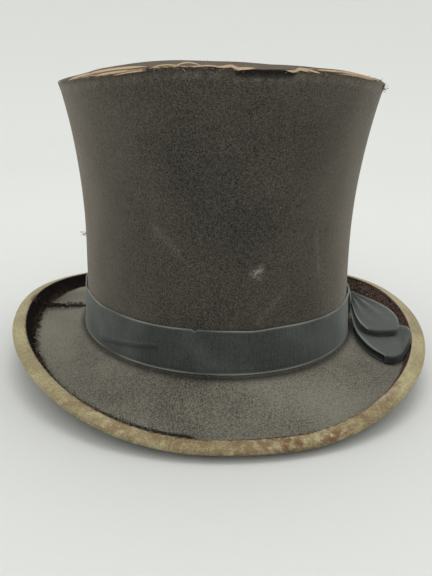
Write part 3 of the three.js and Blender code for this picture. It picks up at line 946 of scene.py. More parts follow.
@dataclass(frozen=True)
class Leather(Finish):
    """Old polished leather with pores, creases and dark handled patches."""

    base: Colour = (0.2, 0.09, 0.035)
    dark: Colour = (0.06, 0.025, 0.012)

    def pattern(self, w: Wiring, place: Socket, cloth: Socket) -> tuple[Socket, Socket]:
        """Cracked grain over stains, darker where it is marked."""
        cells = w.node("ShaderNodeTexVoronoi", {"Vector": place, "Scale": 700.0}, feature="DISTANCE_TO_EDGE")
        cracks = w.span(cells.outputs["Distance"], 0.0, 0.12)
        stain = self.effect(w, Effect.STAIN, {"Vector": place, "Scale": 35.0, "Cover": 0.5, "Edge": 0.3})
        whole = w.math("SUBTRACT", 1.0, cracks)
        amount = w.weighted((stain.outputs["Mask"], 0.55), (whole, 0.3), (w.mark("stain"), 0.8))
        base = w.tint(rgba(self.base), amount, 1.0, self.dark)
        height = w.math("ADD", cracks, w.times(w.noise(place, 180.0, 3.0), 1.5))
        return base, height


@dataclass(frozen=True)
class Thread(Finish):
    """Loose or sewn thread, its colour changing from one thread to the next."""

    base: Colour = (0.05, 0.035, 0.025)
    other: Colour = (0.12, 0.08, 0.05)

    def pattern(self, w: Wiring, place: Socket, cloth: Socket) -> tuple[Socket, Socket]:
        """Two colours mixed in patches finer than the tufts."""
        share = w.span(w.noise(place, 500.0, 1.0), 0.4, 0.6)
        return w.blend(share, rgba(self.base), rgba(self.other)), w.noise(place, 4000.0, 1.0)


@dataclass(frozen=True)
class Backdrop(Finish):
    """The studio's pale matt ground."""

    shade: Colour = (0.71, 0.72, 0.70)
    high: Colour = (0.80, 0.81, 0.79)

    def pattern(self, w: Wiring, place: Socket, cloth: Socket) -> tuple[Socket, Socket]:
        """Very faint unevenness."""
        cloud = w.span(w.noise(place, 3.0, 2.0), 0.3, 0.7, 0.0, 0.1)
        share = w.math("ADD", cloud, w.mark("rise"), clamp=True)
        return w.blend(share, rgba(self.shade), rgba(self.high)), w.noise(place, 300.0)


CROWN_CLOTH = NapCloth(
    "nap_crown", 0.95, 0.46, (0.95, 0.86, 0.72), dark=(0.011, 0.0098, 0.0078), light=(0.09, 0.083, 0.068),
    bump=0.16 * MM, speck_scale=2300.0, blotch=0.2,
)
TIP_CLOTH = NapCloth(
    "nap_tip", 0.95, 0.15, (0.95, 0.84, 0.68), dark=(0.028, 0.021, 0.014), light=(0.11, 0.086, 0.06),
    bump=0.16 * MM, speck_scale=2100.0,
)
# The crown's cloth drawn about three times lighter: painted light for the brim's upward face, which gets
# more of the overhead light.
BRIM_CLOTH_PAINTED_LIGHTER = NapCloth(
    "nap_brim_painted_lighter", 0.95, 0.4, (0.95, 0.88, 0.76), dark=(0.036, 0.034, 0.027), light=(0.26, 0.247, 0.198),
    bump=0.16 * MM, speck_scale=2300.0,
)
UNDER_CLOTH = NapCloth("nap_underside", 0.95, 0.3, dark=(0.03, 0.026, 0.021), light=(0.075, 0.066, 0.052))
FACING_CLOTH = NapCloth(
    "nap_curl", 0.95, 0.0, dark=(0.006, 0.004, 0.004), light=(0.2, 0.125, 0.11), blotch=0.4,
    speck_scale=900.0, flecks=0.85, fleck_scale=1150.0
)
BAND_RIBBON = Ribbon(
    "ribbed_band", 0.65, 0.35, (0.84, 0.9, 0.84), base=(0.017, 0.021, 0.0195), faded=(0.085, 0.095, 0.085),
    bump=0.08 * MM,
)
BINDING_RIBBON = Ribbon(
    "ribbed_binding", 0.8, 0.15, base=(0.21, 0.172, 0.086), faded=(0.52, 0.46, 0.26),
    patch=(0.17, 0.083, 0.04), ribs=1300.0, bump=0.07 * MM, mottle=0.55, highlight_and_worn_edge=(0.5, 0.4, 0.27),
)
MUSLIN = Weave("muslin_weave", 0.9, base=(0.42, 0.33, 0.19), dark=(0.17, 0.11, 0.05), threads=800.0)
# Drawn near black so that where the board shows, at the tear and behind the fold, it reads as the shadow in
# those gaps: painted shade.
SHADE_DARKENED_BOARD = Weave("board_weave", 0.9, base=(0.022, 0.015, 0.011), dark=(0.008, 0.006, 0.005))
TAPE = Weave("tape_weave", 0.85, base=(0.68, 0.51, 0.34), dark=(0.12, 0.065, 0.03), threads=1300.0)
LINING = Weave(
    "silk_weave", 0.5, 0.3, base=(0.66, 0.6, 0.46), dark=(0.42, 0.32, 0.19), threads=2600.0, open_gaps=0.15
)
PAPER = Weave("ticket_paper", 0.8, base=(0.72, 0.66, 0.5), dark=(0.5, 0.4, 0.25), open_gaps=0.0)
LEATHER = Leather("old_leather", 0.42, bump=0.09 * MM)
REED_LEATHER = Leather("reed_leather", 0.5, base=(0.14, 0.065, 0.028), bump=0.07 * MM)
NARROW_RIBBON = Ribbon("narrow_ribbon", 0.5, 0.1, base=(0.012, 0.014, 0.016), faded=(0.05, 0.05, 0.05))
DARK_THREAD = Thread("dark_thread", 0.9, 0.0, base=(0.018, 0.013, 0.01), other=(0.07, 0.045, 0.032))
RUSTY_THREAD = Thread("rusty_thread", 0.9, 0.2, base=(0.09, 0.035, 0.02), other=(0.16, 0.08, 0.05))
PALE_THREAD = Thread("pale_thread", 0.8, 0.1, base=(0.45, 0.33, 0.18), other=(0.62, 0.52, 0.36))
OLIVE_THREAD = Thread("olive_thread", 0.8, 0.1, base=(0.16, 0.13, 0.07), other=(0.24, 0.2, 0.12))
GROUND = Backdrop("studio_ground", 0.9)


# -------- threads and stitches

def geometry_tree(name: str, inputs: dict[str, tuple[str, Any]]) -> tuple[Tree, Any, Any]:
    """Starts a geometry tree with named inputs.

    Args:
        name: The tree's name.
        inputs: Names with their socket type and starting value.

    Returns:
        The tree, what it is given, and where its result goes.
    """
    tree = bpy.data.node_groups.new(name, "GeometryNodeTree")
    tree.interface.new_socket(name="Geometry", in_out="INPUT", socket_type="NodeSocketGeometry")
    for label, (kind, value) in inputs.items():
        made = tree.interface.new_socket(name=label, in_out="INPUT", socket_type=kind)
        if value is not None:
            made.default_value = value
    tree.interface.new_socket(name="Geometry", in_out="OUTPUT", socket_type="NodeSocketGeometry")
    return tree, tree.nodes.new("NodeGroupInput").outputs, tree.nodes.new("NodeGroupOutput").inputs


def finish_tree(w: Wiring, geometry: Socket, given: Any, result: Any) -> None:
    """Ends a tree in real meshes with their material."""
    real = w.node("GeometryNodeRealizeInstances", {"Geometry": geometry})
    dressed = w.node(
        "GeometryNodeSetMaterial", {"Geometry": real.outputs[0], "Material": given["Material"]}
    )
    w.feed(result[0], dressed.outputs[0])


def random_vector(w: Wiring, size: float, seed: Any) -> Socket:
    """A random vector for each point."""
    feeds = {0: (-size,) * 3, 1: (size,) * 3, "Seed": seed}
    return w.out("FunctionNodeRandomValue", feeds, data_type="FLOAT_VECTOR")


def vector_math(w: Wiring, operation: str, a: Any, b: Any = (0.0, 0.0, 0.0)) -> Socket:
    """A vector sum, difference or product."""
    made = w.node("ShaderNodeVectorMath", operation=operation)
    w.feed(made.inputs[0], a)
    if operation == "SCALE":
        w.feed(made.inputs["Scale"], b)
    else:
        w.feed(made.inputs[1], b)
    return made.outputs[0]


def swept(w: Wiring, curve: Socket, radius: Any, sides: int) -> Socket:
    """A closed thin tube along a curve."""
    ring = w.node("GeometryNodeCurvePrimitiveCircle", {"Resolution": sides})
    w.feed(ring.inputs["Radius"], radius)
    made = w.node("GeometryNodeCurveToMesh", {"Curve": curve, "Profile Curve": ring.outputs[0]})
    made.inputs["Fill Caps"].default_value = True
    return made.outputs[0]


def thread_tree() -> Tree:
    """Loose threads that start along a line and point along its aim, bent and drooping.

    Returns:
        The geometry tree.
    """
    name = "Loose threads"
    found = bpy.data.node_groups.get(name)
    if found is not None:
        return found
    tree, given, result = geometry_tree(
        name,
        {
            "Count": ("NodeSocketInt", 60),
            "Length": ("NodeSocketFloat", 4 * MM),
            "Radius": ("NodeSocketFloat", 0.09 * MM),
            "Spread": ("NodeSocketFloat", 0.8),
            "Curl": ("NodeSocketFloat", 0.5),
            "Droop": ("NodeSocketFloat", 0.3),
            "Scatter": ("NodeSocketFloat", 0.5 * MM),
            "Seed": ("NodeSocketInt", 1),
            "Material": ("NodeSocketMaterial", None),
        },
    )
    w = Wiring(tree)
    seed = given["Seed"]
    line = w.out("GeometryNodeMeshToCurve", {0: given["Geometry"]})
    roots = w.node("GeometryNodeCurveToPoints", {"Curve": line, "Count": given["Count"]}, mode="COUNT")
    scatter = vector_math(w, "SCALE", random_vector(w, 1.0, seed), given["Scatter"])
    moved = w.node("GeometryNodeSetPosition", {"Geometry": roots.outputs["Points"], "Offset": scatter})
    single = w.node("GeometryNodeCurvePrimitiveLine", {"End": (0.0, 0.0, 1.0)})
    divided = w.node("GeometryNodeResampleCurve", {"Curve": single.outputs[0], "Count": 7})
    aim = w.out("GeometryNodeInputNamedAttribute", {"Name": "aim"}, data_type="FLOAT_VECTOR")
    stray = vector_math(w, "SCALE", random_vector(w, 1.0, w.math("ADD", seed, 7.0)), given["Spread"])
    heading = vector_math(w, "ADD", aim, stray)
    turn = w.node("FunctionNodeAlignRotationToVector", {"Vector": heading}, axis="Z")
    chance = w.node("FunctionNodeRandomValue", {2: 0.3, 3: 1.0, "Seed": w.math("ADD", seed, 3.0)})
    chance.data_type = "FLOAT"
    length = w.times(chance.outputs[1], given["Length"])
    scale = w.node("ShaderNodeCombineXYZ", {0: length, 1: length, 2: length})
    placed = w.node(
        "GeometryNodeInstanceOnPoints",
        {"Points": moved.outputs[0], "Instance": divided.outputs[0], "Rotation": turn.outputs[0],
         "Scale": scale.outputs[0]},
    )
    real = w.node("GeometryNodeRealizeInstances", {"Geometry": placed.outputs[0]})
    share = w.node("GeometryNodeSplineParameter").outputs["Factor"]
    where = w.out("GeometryNodeInputPosition")
    wander = w.node("ShaderNodeTexNoise", {"Vector": where, "Scale": 420.0, "Detail": 1.0})
    centred = vector_math(w, "SUBTRACT", wander.outputs["Color"], (0.5, 0.5, 0.5))
    reach = w.times(w.math("POWER", share, 1.3), given["Length"])
    curl = w.times(w.times(reach, given["Curl"]), 4.0)
    bend = vector_math(w, "SCALE", centred, curl)
    fall = w.times(w.times(reach, given["Droop"]), -1.0)
    down = w.out("ShaderNodeCombineXYZ", {2: fall})
    bent = w.node(
        "GeometryNodeSetPosition", {"Geometry": real.outputs[0], "Offset": vector_math(w, "ADD", bend, down)}
    )
    finish_tree(w, swept(w, bent.outputs[0], given["Radius"], 3), given, result)
    return tree


def stitch_tree() -> Tree:
    """A row of stitches along a line, each a short arched thread.

    Returns:
        The geometry tree.
    """
    name = "Stitch row"
    found = bpy.data.node_groups.get(name)
    if found is not None:
        return found
    tree, given, result = geometry_tree(
        name,
        {
            "Spacing": ("NodeSocketFloat", 2.5 * MM),
            "Length": ("NodeSocketFloat", 1.6 * MM),
            "Radius": ("NodeSocketFloat", 0.14 * MM),
            "Lean": ("NodeSocketFloat", 0.2),
            "Seed": ("NodeSocketInt", 1),
            "Material": ("NodeSocketMaterial", None),
        },
    )
    w = Wiring(tree)
    line = w.out("GeometryNodeMeshToCurve", {0: given["Geometry"]})
    roots = w.node(
        "GeometryNodeCurveToPoints", {"Curve": line, "Length": given["Spacing"]}, mode="LENGTH"
    )
    half = w.times(given["Length"], 0.5)
    start = w.node("ShaderNodeCombineXYZ", {0: w.times(half, -1.0)})
    end = w.node("ShaderNodeCombineXYZ", {0: half})
    rise = w.node("ShaderNodeCombineXYZ", {2: w.times(half, 0.55)})
    arch = w.node(
        "GeometryNodeCurveQuadraticBezier",
        {"Resolution": 4, "Start": start.outputs[0], "Middle": rise.outputs[0], "End": end.outputs[0]},
    )
    one = swept(w, arch.outputs[0], given["Radius"], 5)
    aim = w.out("GeometryNodeInputNamedAttribute", {"Name": "aim"}, data_type="FLOAT_VECTOR")
    upright = w.node("FunctionNodeAlignRotationToVector", {"Vector": aim}, axis="Z")
    leaning = w.node(
        "FunctionNodeAlignRotationToVector",
        {"Rotation": upright.outputs[0], "Vector": roots.outputs["Tangent"]},
        axis="X",
        pivot_axis="Z",
    )
    chance = w.node("FunctionNodeRandomValue", {2: -0.12, 3: 0.12, "Seed": given["Seed"]})
    chance.data_type = "FLOAT"
    lean = w.math("ADD", given["Lean"], chance.outputs[1])
    spun = w.node("FunctionNodeRotateRotation", {0: leaning.outputs[0]}, rotation_space="LOCAL")
    tilt = w.node("FunctionNodeAxisAngleToRotation", {"Axis": (0.0, 0.0, 1.0), "Angle": lean})
    w.feed(spun.inputs[1], tilt.outputs[0])
    placed = w.node(
        "GeometryNodeInstanceOnPoints",
        {"Points": roots.outputs["Points"], "Instance": one, "Rotation": spun.outputs[0]},
    )
    finish_tree(w, placed.outputs[0], given, result)
    return tree


@dataclass
class Path:
    """A line on the hat with the direction that its threads aim in.

    Attributes:
        points: Places, (n, 3).
        aim: Directions, (n, 3).
    """

    points: Array
    aim: Array

    def grow(
        self, name: str, tree: Tree, finish: Finish, values: dict[str, Any], ring: bool = False
    ) -> Piece:
        """Runs a geometry tree along the line and keeps the result as a plain mesh.

        Args:
            name: The piece's name.
            tree: The geometry tree.
            finish: The threads' finish.
            values: The tree's inputs by name.
            ring: Whether the line closes on itself.

        Returns:
            The object, with no modifier.
        """
        count = len(self.points)
        edges = [(k, k + 1) for k in range(count - 1)] + ([(count - 1, 0)] if ring else [])
        mesh = bpy.data.meshes.new(name + "_line")
        mesh.from_pydata([tuple(p) for p in self.points], edges, [])
        attribute = mesh.attributes.new("aim", "FLOAT_VECTOR", "POINT")
        attribute.data.foreach_set("vector", self.aim.astype(np.float32).reshape(-1))
        carrier = linked(name + "_line", mesh)
        modifier = carrier.modifiers.new("threads", "NODES")
        modifier.node_group = tree
        known = {
            item.name: item.identifier
            for item in tree.interface.items_tree
            if item.item_type == "SOCKET" and item.in_out == "INPUT"
        }
        for label, value in values.items():
            modifier[known[label]] = value
        modifier[known["Material"]] = finish.make()
        bpy.context.view_layer.update()
        evaluated = carrier.evaluated_get(bpy.context.evaluated_depsgraph_get())
        made = bpy.data.meshes.new_from_object(evaluated)
        made.name = name
        if not made.materials:
            made.materials.append(finish.make())
        bpy.data.objects.remove(carrier)
        return linked(name, made)


def joined(name: str, pieces: Sequence[Piece]) -> Piece:
    """Joins several objects into one.

    Args:
        name: The result's name.
        pieces: Objects at the origin.

    Returns:
        The joined object.
    """
    with bpy.context.temp_override(
        active_object=pieces[0], selected_objects=list(pieces), selected_editable_objects=list(pieces)
    ):
        bpy.ops.object.join()
    pieces[0].name = name
    pieces[0].data.name = name
    return pieces[0]


def settle(piece: Piece, slot: str, *nodes: str) -> Piece:
    """Rides a piece on the hat, hides the imported nodes that it stands for, and reports it."""
    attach(piece, BODY)
    if nodes:
        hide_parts(*nodes)
    LOG.info("%s: %d faces", piece.name, len(piece.data.polygons))
    return piece


# -------- crown

@dataclass(frozen=True)
class WornSpot:
    """A stretch of the tip's edge where the cloth has worn away.

    Attributes:
        start: First angle, in degrees.
        end: Last angle, in degrees.
        amount: How much cloth is gone, 0 to 1.
    """

    start: float
    end: float
    amount: float


WORN_SPOTS = (
    WornSpot(-149, -141, 0.25),
    WornSpot(-137, -121, 1.0),
    WornSpot(-116, -103, 0.5),
    WornSpot(-99, -94, 0.7),
    WornSpot(-78, -72, 0.5),
    WornSpot(-69, -38, 0.85),
    WornSpot(-34, -30, 0.3),
    WornSpot(18, 34, 0.5),
    WornSpot(68, 97, 0.45),
    WornSpot(126, 151, 0.7),
    WornSpot(-176, -164, 0.3),
)


@dataclass(frozen=True)
class Sliver:
    """A torn strip of tape along the tip's edge, its sizes in millimetres.

    Attributes:
        start: First angle, in degrees.
        end: Last angle, in degrees.
        low: Height above the edge at its first end.
        high: Height above the edge at its last end.
        bulge: Extra height in its middle.
        width: Its width at the widest.
        stand: How far it stands off the wall.
    """

    start: float
    end: float
    low: float
    high: float
    bulge: float
    width: float
    stand: float


SLIVERS = (
    Sliver(-153, -138, -0.3, 0.9, 0.3, 0.8, 0.2),
    Sliver(-141, -119, 0.9, 0.7, 0.5, 0.9, 0.3),
    Sliver(-137, -124, -0.5, -0.3, 0.2, 0.8, 0.5),
    Sliver(-130, -119, -1.5, -1.1, 0.2, 0.45, 0.7),
    Sliver(-118, -109, -0.4, -0.2, 0.9, 0.5, 0.6),
    Sliver(-111, -103, -0.5, -0.3, 1.6, 0.5, 0.9),
    Sliver(-106, -98, -0.8, -0.4, 0.5, 0.6, 0.4),
    Sliver(-99, -89, -0.7, 0.5, 0.3, 1.1, 0.4),
    Sliver(-80, -73, -0.3, -1.6, 0.2, 0.8, 0.4),
    Sliver(-77, -69, -0.2, -1.9, 0.1, 0.7, 0.7),
    Sliver(-71, -38, -0.6, -0.4, 0.2, 0.8, 0.35),
    Sliver(-63, -44, -1.5, -1.2, 0.2, 0.4, 0.6),
    Sliver(128, 149, -0.9, -0.5, 0.5, 1.2, 0.4),
    Sliver(72, 90, -0.8, -0.4, 0.3, 0.8, 0.3),
)


@dataclass
class Crown:
    """The crown: its stiffened shells, its cloth, the tip and the worn edge between them."""

    form: HatForm
    around: int = 420
    rows: int = 104
    cover: float = 0.8 * MM
    shell: float = 1.8 * MM
    proud: float = 0.32 * MM
    ragged: Waves = Waves(21, 20, 150, 0.0, 40)

    def worn(self, angle: Any) -> Any:
        """How much cloth is worn away from the tip's edge, 0 to 1."""
        total = 0.0
        for spot in WORN_SPOTS:
            total = total + spot.amount * window(angle, spot.start, spot.end, 2.0)
        rough = 1 + 0.3 * self.ragged(angle, 0.0)
        return clamp01(total * rough)

    def smudge(self, angle: Array, z: Array, start: tuple, end: tuple, width: float) -> Array:
        """A soft streak on the wall.

        Args:
            angle: Angles of the wall's points.
            z: Heights of the wall's points.
            start: Angle in degrees and height of one end.
            end: Angle in degrees and height of the other end.
            width: How far it fades.

        Returns:
            1 on the streak, falling to 0.
        """
        radius = self.form.waist_half + self.form.excess / 2
        ax, az = math.radians(start[0]) * radius, start[1]
        bx, bz = math.radians(end[0]) * radius, end[1]
        px = (turned(angle, math.radians(start[0])) + math.radians(start[0])) * radius
        length = (bx - ax) ** 2 + (bz - az) ** 2 + 1e-12
        share = clamp01(((px - ax) * (bx - ax) + (z - az) * (bz - az)) / length)
        away = np.hypot(px - ax - share * (bx - ax), z - az - share * (bz - az))
        return bell(away, width)

    def side_cover(self) -> Piece:
        """The cloth on the wall, ragged along its top, with its marks of wear and a painted shadow under the
        tip's edge.
        """
        angle = stations(self.around)[:, None]
        share = np.linspace(0, 1, self.rows)[None, :]
        drop = 0.12 * MM + 1.0 * MM * self.worn(angle)
        height = self.form.edge_height(angle) - self.form.foot_height(angle)
        low = 0.3 * MM / height
        level = low + share * (1 - drop / height - low)
        top = ease(level, 0.965, 0.99)
        seam = 0.25 * MM * bell(turned(angle, math.pi / 2 + 0.05 * (level - 0.5)), 0.006)
        outer = self.form.wall(angle, level, -self.proud * top + seam)
        inner = self.form.wall(angle, level, mix(self.cover, 0.1 * MM, top))
        z = outer[..., 2]
        dust = 0.75 * self.smudge(angle, z, (-85.2, 77 * MM), (-82.6, 78.6 * MM), 1.7 * MM)
        dust = dust + 0.35 * self.smudge(angle, z, (-84.4, 74.5 * MM), (-82.2, 74.0 * MM), 1.2 * MM)
        dust = dust + 0.13 * self.smudge(angle, z, (-71.9, 66.7 * MM), (-83, 50.8 * MM), 1.5 * MM)
        dust = dust + 0.12 * self.smudge(angle, z, (-121, 98 * MM), (-112, 87 * MM), 2.5 * MM)
        dust = dust + 0.14 * self.smudge(angle, z, (-59, 96 * MM), (-56, 70 * MM), 1.1 * MM)
        dust = dust + 0.3 * ease(level, 0.955, 0.97) * (0.4 + 0.4 * self.ragged(angle, 0.0))
        # A small dark spot, then painted shadow: the top rows darken where the tip's edge overhangs them,
        # most where the front of the edge sags.
        shade = 0.5 * self.smudge(angle, z, (-97, 51.2 * MM), (-96.2, 51.8 * MM), 0.9 * MM)
        broken = clamp01(0.45 + 0.5 * self.ragged(angle, 0.0) + window(angle, -93.0, -79.0, 3.0))
        shade = shade + 0.9 * ease(level, 0.976, 0.99) * broken
        shade = shade + 0.6 * ease(level, 0.966, 0.984) * window(angle, -92.0, -80.0, 4.0)
        worn = 0.2 * self.form.dent_waves(angle + 1.0, level * 1.7)
        marks = {
            "dust": dust,
            "shade": shade,
            "worn": worn,
            "stain": 0.25 * ease(level, 0.95, 1.0) * self.worn(angle),
        }
        made = Shape.layer(outer, inner, True, marks).dress(
            "crown_cloth", CROWN_CLOTH, "crown_cloth", "side_cover"
        )
        return made

    def side_shell(self) -> Piece:
        """The stiffened wall under the cloth, tucked in under the tip's skirt."""
        angle = stations(160)[:, None]
        height = self.form.edge_height(angle) - self.form.foot_height(angle)
        level = np.linspace(0.004, 1, 60)[None, :] * (1 - 3.1 * MM / height)
        skirt_foot = 134.4 * MM
        tuck = ease(level * height, skirt_foot - 1 * MM, skirt_foot + 1 * MM) * ease(level, 0.9, 0.93)
        inset = 1.1 * MM + 2.0 * MM * tuck
        return Shape.layer(
            self.form.wall(angle, level, inset), self.form.wall(angle, level, inset + self.shell), True
        ).dress("side_shell_body", MUSLIN, "stiffened_muslin", "side_shell")

    def tip_shell(self) -> Piece:
        """The stiffened lid whose skirt fits over the wall."""
        angle = stations(160)[:, None]
        reach = np.linspace(0.02, 1, 40)[None, :]
        skirt = np.linspace(0.3, 6, 8)[None, :] * MM
        top = self.form.tip(angle, reach, 1.1 * MM, 1.0 * MM)
        low = self.form.tip(angle, reach, 2.5 * MM, 2.8 * MM)
        outer = self.form.wall(angle, 1.0, 1.1 * MM, -skirt - 1.0 * MM)
        drop = mix(3.1 * MM, 7.0 * MM, (skirt - 0.3 * MM) / (5.7 * MM))
        inner = self.form.wall(angle, 1.0, 2.5 * MM, -drop)
        return Shape.lid(
            np.concatenate([top, outer], 1), np.concatenate([low, inner], 1)
        ).dress("tip_shell_body", MUSLIN, "stiffened_muslin", "tip_shell")

    def tip_cover(self) -> Piece:
        """The cloth on the tip, thin and ragged where it turns over the edge."""
        angle = stations(self.around)[:, None]
        share = np.concatenate([np.linspace(0.015, 0.9, 44), np.linspace(0.905, 1, 24)])[None, :]
        inset = 0.2 * MM + 1.3 * MM * self.worn(angle + 0.004) + 5 * MM * window(angle, -153, -128, 5.0)
        reach = share * (1 - inset / (self.form.top_half + self.form.excess / 2))
        lap = ease(reach, 0.955, 0.968)
        top = self.form.tip(angle, reach, 0.0, -0.3 * MM * lap)
        low = self.form.tip(angle, reach, 0.0, mix(0.7 * MM, 0.06 * MM, lap))
        dust = 0.3 * ease(reach, 0.97, 1.0) * (0.5 + 0.5 * self.ragged(angle, 0.3))
        marks = {"worn": 0.9 * ease(reach, 0.9, 1.0), "dust": dust}
        made = Shape.lid(top, low, marks).dress("tip_cloth", TIP_CLOTH, "crown_cloth", "tip_cover")
        return made

    def sliver(self, torn: Sliver) -> Shape:
        """One of the strips of tape that lie along the tip's edge."""
        s = np.linspace(0, 1, 48)
        angle = np.radians(mix(torn.start, torn.end, s))
        rise = mix(torn.low * MM, torn.high * MM, s) + torn.bulge * MM * np.sin(math.pi * s)
        half = 0.5 * (torn.width * MM) * np.clip(np.sin(math.pi * s) * 1.6, 0.12, 1) ** 0.7
        off = -(torn.stand * MM) * (0.4 + 0.6 * np.sin(math.pi * s)) - 0.35 * MM
        faces = []
        for inset in (off - 0.12 * MM, off + 0.12 * MM):
            rows = [self.form.wall(angle, 1.0, inset, rise + side * half) for side in (-1, 1)]
            faces.append(np.stack(rows, 1))
        return Shape.layer(faces[0], faces[1], False)

    def tip_edge_tape(self) -> Piece:
        """The straw-coloured tape over the edge, with the slivers that have lifted from it."""
        angle = stations(720)[:, None]
        rough = 0.1 * MM * self.ragged(angle, 0.0)
        inwards = np.linspace(3.2, 0.25, 9)[None, :] * MM
        downs = np.linspace(0.25, 2.3, 9)[None, :] * MM
        tops = self.form.tip(angle, 1 - inwards / self.form.top_half, 0.0, 0.02 * MM + rough)
        sides = self.form.wall(angle, 1.0, 0.14 * MM + rough, -downs)
        top_low = self.form.tip(angle, 1 - (inwards + 0.3 * MM) / self.form.top_half, 0.0, 0.6 * MM)
        side_low = self.form.wall(angle, 1.0, 0.75 * MM, -downs - 0.4 * MM)
        outer = np.concatenate([tops, sides], 1)
        stain = clamp01(0.5 + 0.5 * self.ragged(angle + 1, 0.0))
        tape = Shape.layer(outer, np.concatenate([top_low, side_low], 1), True, {"stain": 0.8 * stain})
        slivers = [self.sliver(torn) for torn in SLIVERS]
        return Shape.joined([tape, *slivers]).dress("edge_tape", TAPE, "edge_tape", "tip_edge_tape")

    def edge_fray(self) -> Piece:
        """Short threads standing out of the worn edge, pale and dark."""
        pieces = []
        for k, (start, end, count, finish) in enumerate(
            (
                (-150, -92, 60, PALE_THREAD),
                (-80, -34, 50, PALE_THREAD),
                (-160, -28, 70, DARK_THREAD),
                (60, 155, 60, DARK_THREAD),
            )
        ):
            angle = np.radians(np.linspace(start, end, 90))
            points = self.form.wall(angle, 1.0, -0.25 * MM, -0.9 * MM)
            out = np.stack([np.cos(angle), np.sin(angle), 0.5 + 0 * angle], -1)
            values = {
                "Count": count, "Length": 1.9 * MM, "Radius": 0.07 * MM, "Spread": 0.9, "Curl": 0.5,
                "Droop": 0.1, "Scatter": 0.5 * MM, "Seed": 31 + k,
            }
            pieces.append(Path(points, out).grow(f"fray_{k}", thread_tree(), finish, values))
        for k, (where, drop, length) in enumerate(((182, 90, 5.0), (-31, 2.5, 3.2), (-29, 3.5, 2.6))):
            angle = np.radians(np.linspace(where - 1, where + 1, 4))
            points = self.form.wall(angle, 1.0, 0.0, -drop * MM)
            out = np.stack([np.cos(angle), np.sin(angle), 0.3 + 0 * angle], -1)
            values = {
                "Count": 7, "Length": length * MM, "Radius": 0.09 * MM, "Spread": 0.7, "Curl": 0.7,
                "Droop": 0.2, "Scatter": 0.6 * MM, "Seed": 41 + k,
            }
            pieces.append(Path(points, out).grow(f"tuft_{k}", thread_tree(), DARK_THREAD, values))
        return settle(joined("tip_edge_fray", pieces), "crown_cloth")

    def build(self) -> None:
        """Makes the crown's pieces."""
        self.side_shell()
        self.tip_shell()
        self.side_cover()
        self.tip_cover()
        self.tip_edge_tape()
        self.edge_fray()


# -------- brim

